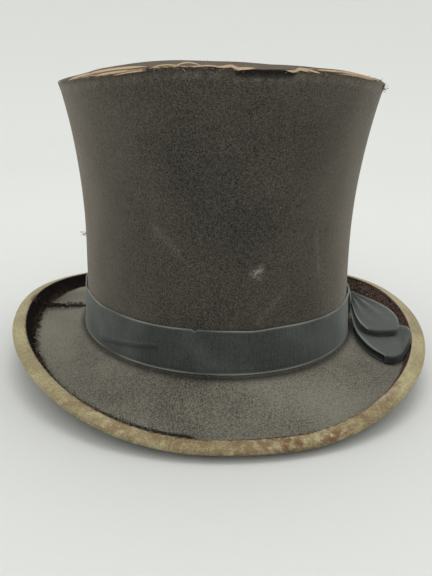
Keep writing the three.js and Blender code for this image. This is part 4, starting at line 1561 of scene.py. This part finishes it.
@dataclass
class Brim:
    """The brim: its board, its cloths, the binding folded over its edge, and the tear."""

    form: HatForm
    around: int = 480
    tear_angle: float = 168.5
    tear_open: float = 1.5
    cloth: float = 0.6 * MM
    gap: float = 0.4 * MM
    board: float = 1.5 * MM
    binding: float = 0.7 * MM
    cloth_end: float = 7.15
    ragged: Waves = Waves(51, 25, 140, 0.0, 40)
    jag: Waves = Waves(52, 1, 3, 26.0, 14)

    @property
    def under(self) -> float:
        """Depth of the board's lower side under the brim's upper face."""
        return self.cloth + self.board + 2 * self.gap

    def left_wear_and_shade(self, angle: Any) -> Any:
        """Wear along the fold on the left, where the cloth has pulled away; painted shade is deepest there
        too.
        """
        return window(angle, 128, 246, 12.0)

    def top_cloth(self) -> Piece:
        """The cloth on the slope, slit where it has torn on the left."""
        centre = math.radians(self.tear_angle)
        half = math.radians(self.tear_open) / 2
        share = np.linspace(0, 1, self.around)
        eased = share - 0.012 * np.sin(TURN * share)
        along = np.concatenate([np.linspace(0, 5, 44), np.linspace(5.05, self.cloth_end, 26)])
        angle = centre + half + eased * (TURN - 2 * half)
        end = self.cloth_end - 1.9 * self.left_wear_and_shade(angle) * clamp01(0.7 + 0.3 * self.ragged(angle, 0.0))
        where = along[None, :] * (end / self.cloth_end)[:, None]
        off = np.minimum(share, 1 - share)[:, None] * TURN
        near = bell(off, 0.05)
        lift = 1.3 * MM * bell(off, 0.022) * ease(where, 1.2, 2.5)
        upper = self.form.brim(angle, where, 0.0, lift)
        lower = self.form.brim(angle, where, self.cloth, lift)
        shift = 1.3 * MM * self.jag(0.0, where / 7.0) * near * ease(where, 1.0, 2.0)
        parted = ease(where, 2.0, 5.5) * bell(off, 0.14)
        shift = shift - parted * np.where(share > 0.5, 6.0 * MM, -1.2 * MM)[:, None]
        across = np.stack([-np.sin(angle), np.cos(angle)], -1)[:, None, :]
        for face in (upper, lower):
            face[..., :2] += across * shift[..., None]
        # Painted shade: the cloth darkens towards the curl's foot, more on the left, and fold is a painted
        # dark line where the cloth first shows behind the curl's crest.
        edge = ease(where, 6.2, 7.0)
        turning = self.form.sideness(angle)[:, None]
        start = mix(4.9 + 1.9 * turning, 4.45 + 0.8 * turning, window(angle, 200, 256, 4.0)[:, None])
        fold = ease(where, start, start + 0.1) * window(angle, 190, 345, 8.0)[:, None]
        blot = self.form.dent_waves(angle[:, None] + 2, where / 6)
        # The shade mark also paints the shadow under the band's foot and shade along the tear's edges.
        marks = {
            "shade": 0.6 * edge * self.left_wear_and_shade(angle)[:, None] + 0.4 * edge + fold
            + 0.9 * bell(where - 1.15, 0.2) + 0.7 * bell(off, 0.016),
            "worn": 0.3 * blot + 0.25 * bell(where - 4.6, 0.8),
            "dust": 0.1 * ease(where, 4.5, 5.5) * (1 - edge),
            "stain": 0.3 * bell(off, 0.03) * ease(where, 3.0, 5.0),
        }
        made = Shape.layer(upper, lower, False, marks).dress(
            "brim_cloth", BRIM_CLOTH_PAINTED_LIGHTER, "brim_cloth", "brim_top_cloth"
        )
        self.declare(7.1, 0.0)
        return made

    def declare(self, last: float, first: float) -> None:
        """Works out the area of a ring of cloth along the brim, held between bounds set by the square it is
        cut from; the result is not used.
        """
        angle = stations(180)
        grid = self.form.brim(angle, np.linspace(first, last, 60), 0.0)
        a = np.roll(grid, -1, 0)[:, :-1] - grid[:, :-1]
        b = grid[:, 1:] - grid[:, :-1]
        area = float(np.linalg.norm(np.cross(a, b), axis=-1).sum())
        size = (2 * self.form.brim_half[0], 2 * self.form.brim_half[1])
        area = min(max(area, 0.301 * size[0] * size[1]), size[0] * size[1])

    def board_body(self) -> Piece:
        """The stiffened board that carries the brim."""
        angle = stations(240)
        along = np.linspace(0.02, 13.9, 110)
        top = self.cloth + self.gap
        return Shape.layer(
            self.form.brim(angle, along, top), self.form.brim(angle, along, top + self.board), True
        ).dress("brim_board_body", SHADE_DARKENED_BOARD, "stiffened_muslin", "brim_board")

    def under_cloth(self) -> Piece:
        """The cloth under the brim."""
        angle = stations(360)
        along = np.linspace(0.02, 10.6, 80)
        upper = self.form.brim(angle, along, self.under)
        lower = self.form.brim(angle, along, self.under + self.cloth)
        worn = 0.5 * self.form.dent_waves(angle[:, None] + 3, along[None, :] / 8)
        made = Shape.layer(upper, lower, True, {"worn": worn}).dress(
            "underside_cloth", UNDER_CLOTH, "under_cloth", "brim_under_cloth"
        )
        self.declare(10.6, 0.0)
        return made

    def curl_facing(self) -> Piece:
        """The dark cloth on the inner wall of the curl, with painted shade on the left and at the back."""
        angle = stations(self.around)
        along = np.linspace(7.4, 11.85, 36)
        rough = 0.18 * MM * self.ragged(angle, 0.0)[:, None] * np.sin(np.linspace(0, math.pi, 36))[None, :]
        upper = self.form.brim(angle, along, -0.1 * MM - rough)
        lower = self.form.brim(angle, along, self.cloth)
        patches = Waves(53, 6, 30, 4.0, 16)(angle[:, None], along[None, :] / 3)
        right = window(angle, -12, 60, 10.0)[:, None]
        back = window(angle, 45, 150, 12.0)[:, None]
        # Painted shade: the wall darkens on the left and at the back, where it lies in shadow, and less on
        # the right.
        marks = {
            "worn": 0.2 * patches + 0.1 * right,
            "shade": 0.25 - 0.2 * patches - 0.4 * right + self.left_wear_and_shade(angle)[:, None] + 0.7 * back,
            "stain": 0.15 * right * (patches + 0.3),
        }
        return Shape.layer(upper, lower, True, marks).dress(
            "curl_cloth", FACING_CLOTH, "curl_facing", "curl_facing"
        )

    def edge_binding(self) -> Piece:
        """The ribbon folded over the lip: down the inside, round the nose and under."""
        angle = stations(720)
        start = 11.8 + 0.05 * self.ragged(angle, 0.0)
        share = np.linspace(0, 1, 22)[None, :]
        top_along = start[:, None] + share * (LIP - start[:, None])
        low_along = np.linspace(LIP, 11.9, 16)
        thick = self.binding
        outer_top = self.form.brim(angle, top_along, 0.0)
        outer_low = self.form.brim(angle, low_along, self.under + thick)
        inner_low = self.form.brim(angle, low_along, self.under)
        inner_top = self.form.brim(angle, top_along, thick)
        _, edge, out = self.form.brim_lines(angle)
        nose_out = self._nose(outer_top[:, -1], outer_low[:, 0], edge, out, 0.0)
        nose_in = self._nose(inner_top[:, -1], inner_low[:, 0], edge, out, thick * self.form.lip_skive)
        outer = np.concatenate([outer_top, nose_out, outer_low], 1)
        inner = np.concatenate([inner_top, nose_in, inner_low], 1)
        lengths = np.linalg.norm(np.diff(outer, axis=1), axis=2).mean(0)
        run = np.concatenate([[0], np.cumsum(lengths)]) / lengths.sum()
        front = window(angle, -126, -50, 20.0)[:, None]
        orange = window(angle, -96, -74, 6.0)[:, None]
        right = window(angle, -50, 60, 14.0)[:, None]
        patches = Waves(54, 5, 40, 3.0, 20)(angle[:, None], run[None, :])
        rim = bell(run - 0.02, 0.035)[None, :]
        groove = bell(run, 0.02)[None, :]
        fading = Waves(55, 3, 18, 2.0)(angle[:, None], run[None, :])
        beside = bell(run - 0.06, 0.06)[None, :]
        away = 1 - window(angle, -60, 40, 20)[:, None]
        stain = (0.12 + 0.5 * front) * (0.7 + 0.4 * patches) + 0.4 * orange + 0.6 * rim * (1 - right)
        # edge paints a highlight along the crest, and on the right a pale worn band beside it; shade is
        # painted shade under the nose at the front and a dark line at the binding's inner edge.
        marks = {
            "stain": stain,
            "worn": 0.25 * fading + rim * right + 0.15,
            "edge": 0.5 * rim + 0.8 * beside * right * (0.4 + patches),
            "shade": 0.35 * ease(run, 0.3, 0.5)[None, :] * front + 0.6 * groove * away,
        }
        made = Shape.layer(outer, inner, True, marks).dress(
            "edge_binding", BINDING_RIBBON, "binding_ribbon", "brim_binding"
        )
        return made

    @staticmethod
    def _nose(first: Array, last: Array, edge: Array, out: Array, inset: float) -> Array:
        """The round of the binding between its upper and its lower leaf."""
        middle = (first + last) / 2
        tip = middle.copy()
        tip[:, :2] = edge - out * inset
        rows = []
        for turn in np.linspace(0, math.pi, 11)[1:-1]:
            across = (first - last) / 2 * math.cos(turn)
            rows.append(middle + across + (tip - middle) * math.sin(turn))
        return np.stack(rows, 1)

    def seam(self, angle: Array, along: float, depth: float) -> tuple[Array, Array]:
        """A line along the brim, and the directions square to it."""
        line = self.form.brim(angle, np.array([along]), depth)[:, 0]
        above = self.form.brim(angle, np.array([along]), depth - 1 * MM)[:, 0]
        return line, (above - line) / MM

    def stitches(self) -> Piece:
        """The stitching through the binding, on the lip and underneath."""
        angle = stations(360)
        rows = []
        for k, (along, depth, side) in enumerate(
            ((11.95, -0.02 * MM, 1), (12.1, self.under + self.binding, -1))
        ):
            line, aim = self.seam(angle, along, depth)
            values = {
                "Spacing": 4.2 * MM, "Length": 2.3 * MM, "Radius": 0.13 * MM, "Lean": 0.12, "Seed": 61 + k,
            }
            path = Path(line, aim * side)
            rows.append(path.grow(f"row_{k}", stitch_tree(), OLIVE_THREAD, values, ring=True))
        return settle(joined("binding_stitches", rows), "binding_ribbon")

    def fray(self) -> Piece:
        """Threads along the fold, the torn slit and the right wall."""
        pieces = []
        for k, (start, end, along, count, length, finish) in enumerate(
            (
                (118, 224, 6.6, 420, 3.4, DARK_THREAD),
                (166, 214, 7.2, 90, 4.0, RUSTY_THREAD),
                (156, 168, 6.0, 70, 4.5, RUSTY_THREAD),
                (172, 175, 11.9, 26, 4.0, RUSTY_THREAD),
                (150, 186, 7.6, 240, 4.2, DARK_THREAD),
                (-20, 62, 9.0, 240, 2.6, RUSTY_THREAD),
                (-24, 70, 7.6, 200, 2.8, DARK_THREAD),
                (236, 300, 7.2, 150, 1.5, DARK_THREAD),
                (62, 118, 7.4, 120, 2.0, DARK_THREAD),
            )
        ):
            angle = np.radians(np.linspace(start, end, 120))
            line, aim = self.seam(angle, along, -0.1 * MM)
            aim[:, 2] += 0.3
            values = {
                "Count": count, "Length": length * MM, "Radius": 0.1 * MM, "Spread": 1.2, "Curl": 0.9,
                "Droop": 0.35, "Scatter": 0.9 * MM, "Seed": 71 + k,
            }
            pieces.append(Path(line, aim).grow(f"fray_{k}", thread_tree(), finish, values))
        lips = ((-1, 170, DARK_THREAD), (1, 170, DARK_THREAD), (1, 30, RUSTY_THREAD))
        for k, (side, count, finish) in enumerate(lips):
            along = np.linspace(1.6, 8.5, 60)
            centre = math.radians(self.tear_angle + side * self.tear_open / 2)
            line = self.form.brim(np.array([centre]), along, -0.3 * MM)[0]
            aim = np.tile([0.15, -0.7 * side, 0.5], (60, 1))
            values = {
                "Count": count, "Length": 3.8 * MM, "Radius": 0.12 * MM, "Spread": 1.0, "Curl": 1.0,
                "Droop": 0.3, "Scatter": 0.9 * MM, "Seed": 81 + k,
            }
            pieces.append(Path(line, aim).grow(f"tear_{k}", thread_tree(), finish, values))
        return settle(joined("brim_fray", pieces), "brim_cloth")

    def build(self) -> None:
        """Makes the brim's pieces."""
        self.board_body()
        self.top_cloth()
        self.under_cloth()
        self.curl_facing()
        self.edge_binding()
        self.stitches()
        self.fray()


# -------- band and bow

@dataclass(frozen=True)
class Loop:
    """One fallen loop of the bow, between an edge along the crown and an edge along the curl.

    Attributes:
        name: The CAD node that it stands for.
        near: Plan points in millimetres of the edge beside the crown, from the knot outwards.
        far: Plan points in millimetres of the edge beside the curl.
        bulge: How far the folded end bows out.
        rise: Heights in millimetres over the brim at the knot, a third of the way along, and at the fold.
        opening: Distance between the two leaves.
        fade: How much the ribbon has faded, 0 to 1; less than 0 where it has kept its colour.
    """

    name: str
    near: tuple[tuple[float, float], ...]
    far: tuple[tuple[float, float], ...]
    bulge: float
    rise: tuple[float, float, float]
    opening: float
    fade: float


@dataclass
class Band:
    """The ribbon round the crown's foot, and its bow on the wearer's left."""

    form: HatForm
    width: float = 24 * MM
    ribbon: float = 0.7 * MM
    around: int = 600
    knot_angle: float = -8.0
    knot_plan: tuple[float, float] = (87.0, -12.0)
    slack: Waves = Waves(91, 4, 22, 1.2, 14)

    def crease(self, angle: Array, lift: Array) -> Array:
        """A slanting fold pressed into the band on the left: 1 on its line."""
        start, end = (-148.4, 4.8 * MM), (-121.3, 11.6 * MM)
        share = clamp01(turned(angle, math.radians(start[0])) / math.radians(end[0] - start[0]))
        inside = window(angle, start[0], end[0], 2.0)
        return bell(lift - mix(start[1], end[1], share), 1.3 * MM) * inside

    def hat_band(self) -> Piece:
        """The ribbon, with corded edges, a little slack, a crease and a nick in its top edge."""
        angle = stations(self.around)[:, None]
        share = np.linspace(0, 1, 76)[None, :]
        sway = 0.35 * MM * self.slack(angle, 0.0)
        nick = 1.1 * MM * bell(off_from(angle, -106), 0.011) * ease(share, 0.75, 1.0)
        lift = 0.8 * MM + share * self.width + sway * ease(share, 0.5, 1.0) * 0.5 - nick
        edge = bell(share, 0.024) + bell(1 - share, 0.024)
        belly = 0.3 * MM * self.slack(angle, share * 1.5) * np.sin(math.pi * share) + 0.12 * MM
        crease = self.crease(angle, lift)
        above = self.crease(angle, lift - 1.6 * MM)
        proud = 0.22 * MM * edge + belly - 0.35 * MM * crease + 0.7 * MM * above
        loose = 0.55 * MM * ease(share, 0.8, 1.0) * clamp01(self.slack(angle + 2, 0.0))
        outer = self.form.wall(angle, 0.0, -1.0 * MM - proud - loose, lift)
        inner = self.form.wall(angle, 0.0, -0.3 * MM - 0.4 * proud - loose, lift)
        # Painted highlight along the corded edges; painted shade in the crease and in a line just above the
        # lower cord.
        marks = {
            "edge": clamp01(edge) * (0.75 + 0.25 * self.slack(angle + 1, 0.0)),
            "shade": 0.6 * crease + 0.3 * bell(share - 0.075, 0.03),
            "worn": 0.25 * self.slack(angle + 4, share),
        }
        made = Shape.layer(outer, inner, True, marks).dress(
            "ribbon_band", BAND_RIBBON, "band_ribbon", "hat_band"
        )
        return made

    @staticmethod
    def _along(points: Sequence[tuple[float, float]], share: Array) -> Array:
        """Places on a smooth line through plan points."""
        known = np.array(points) * MM
        last = len(known) - 1
        cell = np.clip(np.floor(share * last).astype(int), 0, last - 1)
        t = (share * last - cell)[:, None]
        p = [known[np.clip(cell + k, 0, last)] for k in (-1, 0, 1, 2)]
        slope = (p[3] - p[0] + 3 * (p[1] - p[2])) * t**3
        return 0.5 * (2 * p[1] + (p[2] - p[0]) * t + (2 * p[0] - 5 * p[1] + 4 * p[2] - p[3]) * t**2 + slope)

    def loop(self, size: Loop) -> Piece:
        """A loop of ribbon fallen on the brim.

        Args:
            size: The loop's edges and heights.

        Returns:
            The loop, its lower leaf under its upper one.
        """
        columns = np.linspace(-1, 1, 41)

        def leaf(s: Array, upper: bool) -> Array:
            """Points of one leaf at shares s of its length."""
            reach = s * (1.0 if upper else 1.03)
            near, far = self._along(size.near, s)[:, None], self._along(size.far, s)[:, None]
            q = columns[None, :, None]
            plan = mix(near, far, (q + 1) / 2)
            axis = (near + far) / 2 - np.array(self.knot_plan) * MM
            axis = axis / (np.linalg.norm(axis, axis=-1, keepdims=True) + 1e-9)
            plan = plan + axis * (size.bulge * ease(reach, 0.45, 1.0)[:, None, None] * (1 - q**4))
            knot, third, fold = (height * MM for height in size.rise)
            rise = mix(fold, third, (1 - s) ** 0.8) + (knot - third) * clamp01(1 - s / 0.5) ** 2
            rise = rise - (0.0 if upper else size.opening * ease(s, 0.0, 0.4))
            gather = clamp01(1 - s / 0.75)[:, None] ** 1.5
            pleats = 1.1 * MM * np.sin(2.6 * math.pi * columns + 0.6)[None, :] * gather
            belly = 0.9 * MM * (1 - columns**2)[None, :] * (1 if upper else 0.2)
            z = self.form.brim_top_at(plan[..., 0], plan[..., 1]) + rise[:, None] + belly + pleats
            return np.concatenate([plan, z[..., None]], -1)

        top, low = leaf(np.linspace(0.02, 0.97, 90), True), leaf(np.linspace(0.97, 0.3, 60), False)
        turn = []
        out = top[-1] - top[-3]
        out /= np.linalg.norm(out, axis=-1, keepdims=True)
        for angle in np.linspace(0, math.pi, 15)[1:-1]:
            row = (top[-1] + low[0]) / 2 + (top[-1] - low[0]) / 2 * math.cos(angle)
            turn.append(row + out * (1.2 * MM * math.sin(angle)))
        rows = self._smoothed(np.concatenate([top, np.stack(turn), low]))
        along = np.gradient(rows, axis=0)
        across = np.gradient(rows, axis=1)
        square = np.cross(along, across)
        square /= np.linalg.norm(square, axis=-1, keepdims=True) + 1e-12
        edge = bell(1 - np.abs(columns), 0.06)[None, :]
        half = (0.32 * MM + 0.12 * MM * edge)[..., None]
        place = np.linspace(0, 1, len(rows))[:, None]
        # Painted highlights along the edges and along the fold; the shade mark is painted shade on the lower
        # leaf, under the upper one.
        fold = bell(place - 0.56, 0.02)
        worn = size.fade + 0.4 * bell(place, 0.3) * np.abs(np.sin(9 * columns))[None, :] + 0.3 * fold
        marks = {"edge": edge, "worn": worn, "shade": 0.95 * ease(place, 0.55, 0.572)}
        made = Shape.layer(rows + square * half, rows - square * half, False, marks).dress(
            size.name + "_ribbon", BAND_RIBBON, "band_ribbon", size.name
        )
        return made

    @staticmethod
    def _smoothed(rows: Array) -> Array:
        """Evens out small steps along the ribbon."""
        result = rows
        for _ in range(3):
            result = result.copy()
            result[1:-1] = 0.25 * result[:-2] + 0.5 * result[1:-1] + 0.25 * result[2:]
            result[:, 1:-1] = 0.25 * result[:, :-2] + 0.5 * result[:, 1:-1] + 0.25 * result[:, 2:]
        return result

    def knot(self) -> Piece:
        """The crosspiece that gathers the bow, with folds along it."""
        centre = math.radians(self.knot_angle)
        v = np.linspace(-1, 1, 40)[:, None]
        u = np.linspace(-1, 1, 30)[None, :]
        bulge = 2.2 * MM * (1 - v**2) + 0.25 * MM * np.cos(5 * math.pi * u) * (1 - v**2)
        inset = -0.6 * MM - self.ribbon - 0.7 * MM - bulge
        angle = centre + u * 0.06 * (0.82 + 0.18 * np.abs(v))
        lift = 12.5 * MM + v * 11 * MM
        outer = self.form.wall(angle, 0.0, inset - 0.5 * MM * (1 - u**2) ** 0.3, lift)
        inner = self.form.wall(angle, 0.0, inset + 0.5 * MM, lift)
        # Painted highlight along the knot's edges.
        edge = bell(1 - np.abs(u), 0.1)
        made = Shape.layer(outer, inner, False, {"edge": edge}).dress(
            "knot_ribbon", BAND_RIBBON, "band_ribbon", "bow_knot"
        )
        return made

    def build(self) -> None:
        """Makes the band, the loops and the knot."""
        self.hat_band()
        self.loop(
            Loop(
                "bow_lower_loop",
                near=((85.5, -15), (81, -36), (79.5, -53), (82, -67), (88.5, -75)),
                far=((89, -11), (104, -16), (111.5, -30), (113, -43), (111, -54)),
                bulge=6.5 * MM,
                rise=(13.0, 5.6, 5.2),
                opening=4.6 * MM,
                fade=0.5,
            )
        )
        self.loop(
            Loop(
                "bow_upper_loop",
                near=((86, -15), (84, -28), (82.5, -40), (82.5, -48), (84.5, -53.5)),
                far=((88, -9), (101, -7), (110, -16), (111.5, -32), (107, -46)),
                bulge=4.0 * MM,
                rise=(16.0, 10.5, 9.6),
                opening=2.4 * MM,
                fade=-0.15,
            )
        )
        self.knot()


# -------- inside

@dataclass
class Inside:
    """The fittings inside the crown: leather, reed, ribbon bow, linings and ticket."""

    form: HatForm
    leather_height: float = 48 * MM
    lining_inset: float = 5.3 * MM
    wrinkle: Waves = Waves(101, 12, 70, 3.0, 24)
    pleats: int = 96

    def sweatband(self) -> Piece:
        """The leather round the head, with a soft top edge."""
        angle = stations(480)[:, None]
        share = np.linspace(0, 1, 56)[None, :]
        lift = mix(-3 * MM, self.leather_height - 1.2 * MM + 0.6 * MM * self.wrinkle(angle, 0.0), share)
        lean = ease(lift, 14 * MM, 33 * MM)
        crumple = 0.12 * MM * self.wrinkle(angle, share) * np.sin(math.pi * share)
        seam = 0.4 * MM * bell(off_from(angle, 96), 0.012)
        inset = mix(4.0 * MM, 6.2 * MM, lean) + crumple
        return Shape.layer(
            self.form.wall(angle, 0.0, inset, lift),
            self.form.wall(angle, 0.0, inset + 0.8 * MM + seam, lift),
            True,
            {"stain": 0.3 + 0.5 * ease(share, 0.6, 1.0) + 0.3 * self.wrinkle(angle, share)},
        ).dress("head_leather", LEATHER, "sweatband_leather", "sweatband")

    def reed(self) -> Piece:
        """The cord sewn into the leather's lower edge."""
        angle = stations(360)[:, None]
        turn = np.linspace(0, TURN, 16, endpoint=False)[None, :]
        radius = 1.1 * MM + 0.05 * MM * np.sin(180 * angle)
        inset = 4.4 * MM + radius * np.cos(turn)
        lift = -4.4 * MM + radius * np.sin(turn)
        shape = Shape.grid(self.form.wall(angle, 0.0, inset, lift), (True, True)).outward()
        return shape.dress("reed_cord", REED_LEATHER, "sweatband_leather", "sweatband_reed")

    def stitches(self) -> Piece:
        """The stitching that holds the leather to its reed."""
        angle = stations(300)
        line = self.form.wall(angle, 0.0, 4.95 * MM, -1.8 * MM)
        aim = np.stack([-np.cos(angle), -np.sin(angle), 0 * angle], -1)
        values = {"Spacing": 3.1 * MM, "Length": 2.2 * MM, "Radius": 0.17 * MM, "Lean": 0.5, "Seed": 111}
        made = Path(line, aim).grow("sweatband_stitches", stitch_tree(), PALE_THREAD, values, ring=True)
        return settle(made, "sweatband_leather")

    def small_bow(self) -> Piece:
        """The narrow ribbon bow sewn on the leather at the back."""
        v = np.linspace(-1, 1, 61)[:, None]
        u = np.linspace(-1, 1, 15)[None, :]
        half = (1.4 + 3.2 * np.abs(np.sin(v * 1.9))) * MM
        angle = math.pi / 2 + v * 0.15
        lift = 10 * MM + u * half
        puff = 1.1 * MM * np.sin(np.abs(v) * math.pi) ** 2 * (1 - 0.4 * u**2)
        outer = self.form.wall(angle, 0.0, 5.4 * MM, lift)
        inner = self.form.wall(angle, 0.0, 5.95 * MM + puff, lift)
        # Painted highlight along the ribbon's edges.
        edge = bell(1 - np.abs(u), 0.15)
        made = Shape.layer(outer, inner, False, {"edge": edge}).dress(
            "leather_bow", NARROW_RIBBON, "inner_ribbon", "sweatband_bow"
        )
        return made

    def side_lining(self) -> Piece:
        """The silk on the wall, in soft pleats."""
        angle = stations(576)[:, None]
        share = np.linspace(0, 1, 50)[None, :]
        height = self.form.edge_height(angle) - self.form.foot_height(angle)
        low = 38 * MM / height
        level = low + share * (1 - 4.9 * MM / height - low)
        pleat = 0.35 * MM * np.abs(np.sin(self.pleats / 2 * angle + 2 * np.sin(3 * share))) ** 0.7
        inset = self.lining_inset
        made = Shape.layer(
            self.form.wall(angle, level, inset),
            self.form.wall(angle, level, inset + 0.45 * MM + pleat),
            True,
            {"stain": 0.3 * (1 - share) + 0.25 * self.wrinkle(angle, share)},
        ).dress("wall_lining", LINING, "lining", "side_lining")
        return made

    def tip_lining(self) -> Piece:
        """The silk under the tip, puckered towards its edge."""
        angle = stations(480)[:, None]
        reach = np.concatenate([np.linspace(0.02, 0.9, 30), np.linspace(0.91, 1, 14)])[None, :]
        pucker = 0.3 * MM * np.abs(np.sin(60 * angle)) * ease(reach, 0.86, 1.0)
        inset = 6.6 * MM
        top = self.form.tip(angle, reach, inset, 3.28 * MM)
        low = self.form.tip(angle, reach, inset, 3.8 * MM + pucker)
        made = Shape.lid(top, low, {"stain": 0.4 * self.wrinkle(angle, reach)}).dress(
            "crown_lining", LINING, "lining", "tip_lining"
        )
        return made

    def ticket(self) -> Piece:
        """A blank paper ticket with curled corners."""
        v = np.linspace(-1, 1, 25)[:, None]
        u = np.linspace(-1, 1, 25)[None, :]
        curl = 0.8 * MM * (v * u) ** 2
        angle = math.pi / 2 + 0.55 + v * 0.07
        lift = 36 * MM + u * 8 * MM
        return Shape.layer(
            self.form.wall(angle, 0.0, 7.8 * MM + curl, lift),
            self.form.wall(angle, 0.0, 8.1 * MM + curl, lift),
            False,
        ).dress("paper_ticket", PAPER, "ticket", "size_ticket")

    def build(self) -> None:
        """Makes the inside pieces."""
        self.sweatband()
        self.reed()
        self.stitches()
        self.small_bow()
        self.side_lining()
        self.tip_lining()
        self.ticket()


# -------- studio

@dataclass
class Studio:
    """The camera, a pale bowl of a floor, and soft lights."""

    distance: float = 0.432
    height: float = 0.1807
    bearing: float = 7.1
    down: float = 18.4
    roll: float = 0.98
    lens: float = 43.75

    def camera(self) -> None:
        """Makes the camera that looks at the hat's front from a little above."""
        data = bpy.data.cameras.new("camera")
        data.lens = self.lens
        data.sensor_width = 36
        data.sensor_fit = "AUTO"
        data.clip_start = 0.01
        made = linked("camera", data)
        bearing = math.radians(self.bearing)
        x, y = -self.distance * math.sin(bearing), -self.distance * math.cos(bearing)
        made.location = (x, y, self.height)
        made.rotation_euler = (math.radians(90 - self.down), 0.0, -bearing)
        bpy.context.view_layer.update()
        made.rotation_mode = "QUATERNION"
        turn = made.rotation_euler.to_quaternion()
        made.rotation_quaternion = turn @ Quaternion((0, 0, 1), math.radians(self.roll))
        bpy.context.scene.camera = made

    def floor(self) -> None:
        """A flat disc whose rim curves up into a wall all round."""
        angle = stations(96)[:, None]
        radius = np.concatenate([[0.02, 0.3, 0.8], 1.2 + 1.6 * np.sin(np.linspace(0, math.pi / 2, 20))])
        z = np.concatenate([[0, 0, 0], 1.6 * (1 - np.cos(np.linspace(0, math.pi / 2, 20)))])
        plan = (radius[None, :] * np.cos(angle), radius[None, :] * np.sin(angle))
        points = np.stack(np.broadcast_arrays(*plan, z[None, :]), -1)
        thick = points - np.array([0, 0, 0.02])
        rise = ease(radius, 0.6, 1.6)[None, :]
        made = Shape.lid(points, thick, {"rise": rise}).object("studio_floor", GROUND.make())

    def light(self, name: str, place: tuple, aim: tuple, size: float, power: float) -> None:
        """Adds one soft round light."""
        data = bpy.data.lights.new(name, "AREA")
        data.shape = "DISK"
        data.size = size
        data.energy = power
        made = linked(name, data)
        made.location = place
        made.rotation_euler = (Vector(aim) - Vector(place)).to_track_quat("-Z", "Y").to_euler()

    def build(self) -> None:
        """Sets the whole studio up."""
        self.camera()
        self.floor()
        self.light("overhead", (0.1, 0.25, 1.5), (0, 0, 0.1), 1.3, 7.0)
        self.light("front_fill", (-0.3, -1.2, 1.1), (0, 0, 0.08), 1.0, 1.5)
        world = bpy.data.worlds.new("studio")
        world.use_nodes = True
        world.node_tree.nodes["Background"].inputs["Color"].default_value = (1.0, 1.0, 0.99, 1)
        world.node_tree.nodes["Background"].inputs["Strength"].default_value = 0.9
        bpy.context.scene.world = world
        bpy.context.scene.view_settings.view_transform = "Standard"


def main() -> None:
    """Builds the studio and the hat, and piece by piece."""
    logging.basicConfig(level=logging.INFO, format="%(name)s: %(message)s")
    Studio().build()
    form = HatForm.from_frame()
    for assembly in (Crown(form), Brim(form), Band(form), Inside(form)):
        assembly.build()
        LOG.info("%s is built", type(assembly).__name__)


if __name__ == "__main__":
    main()
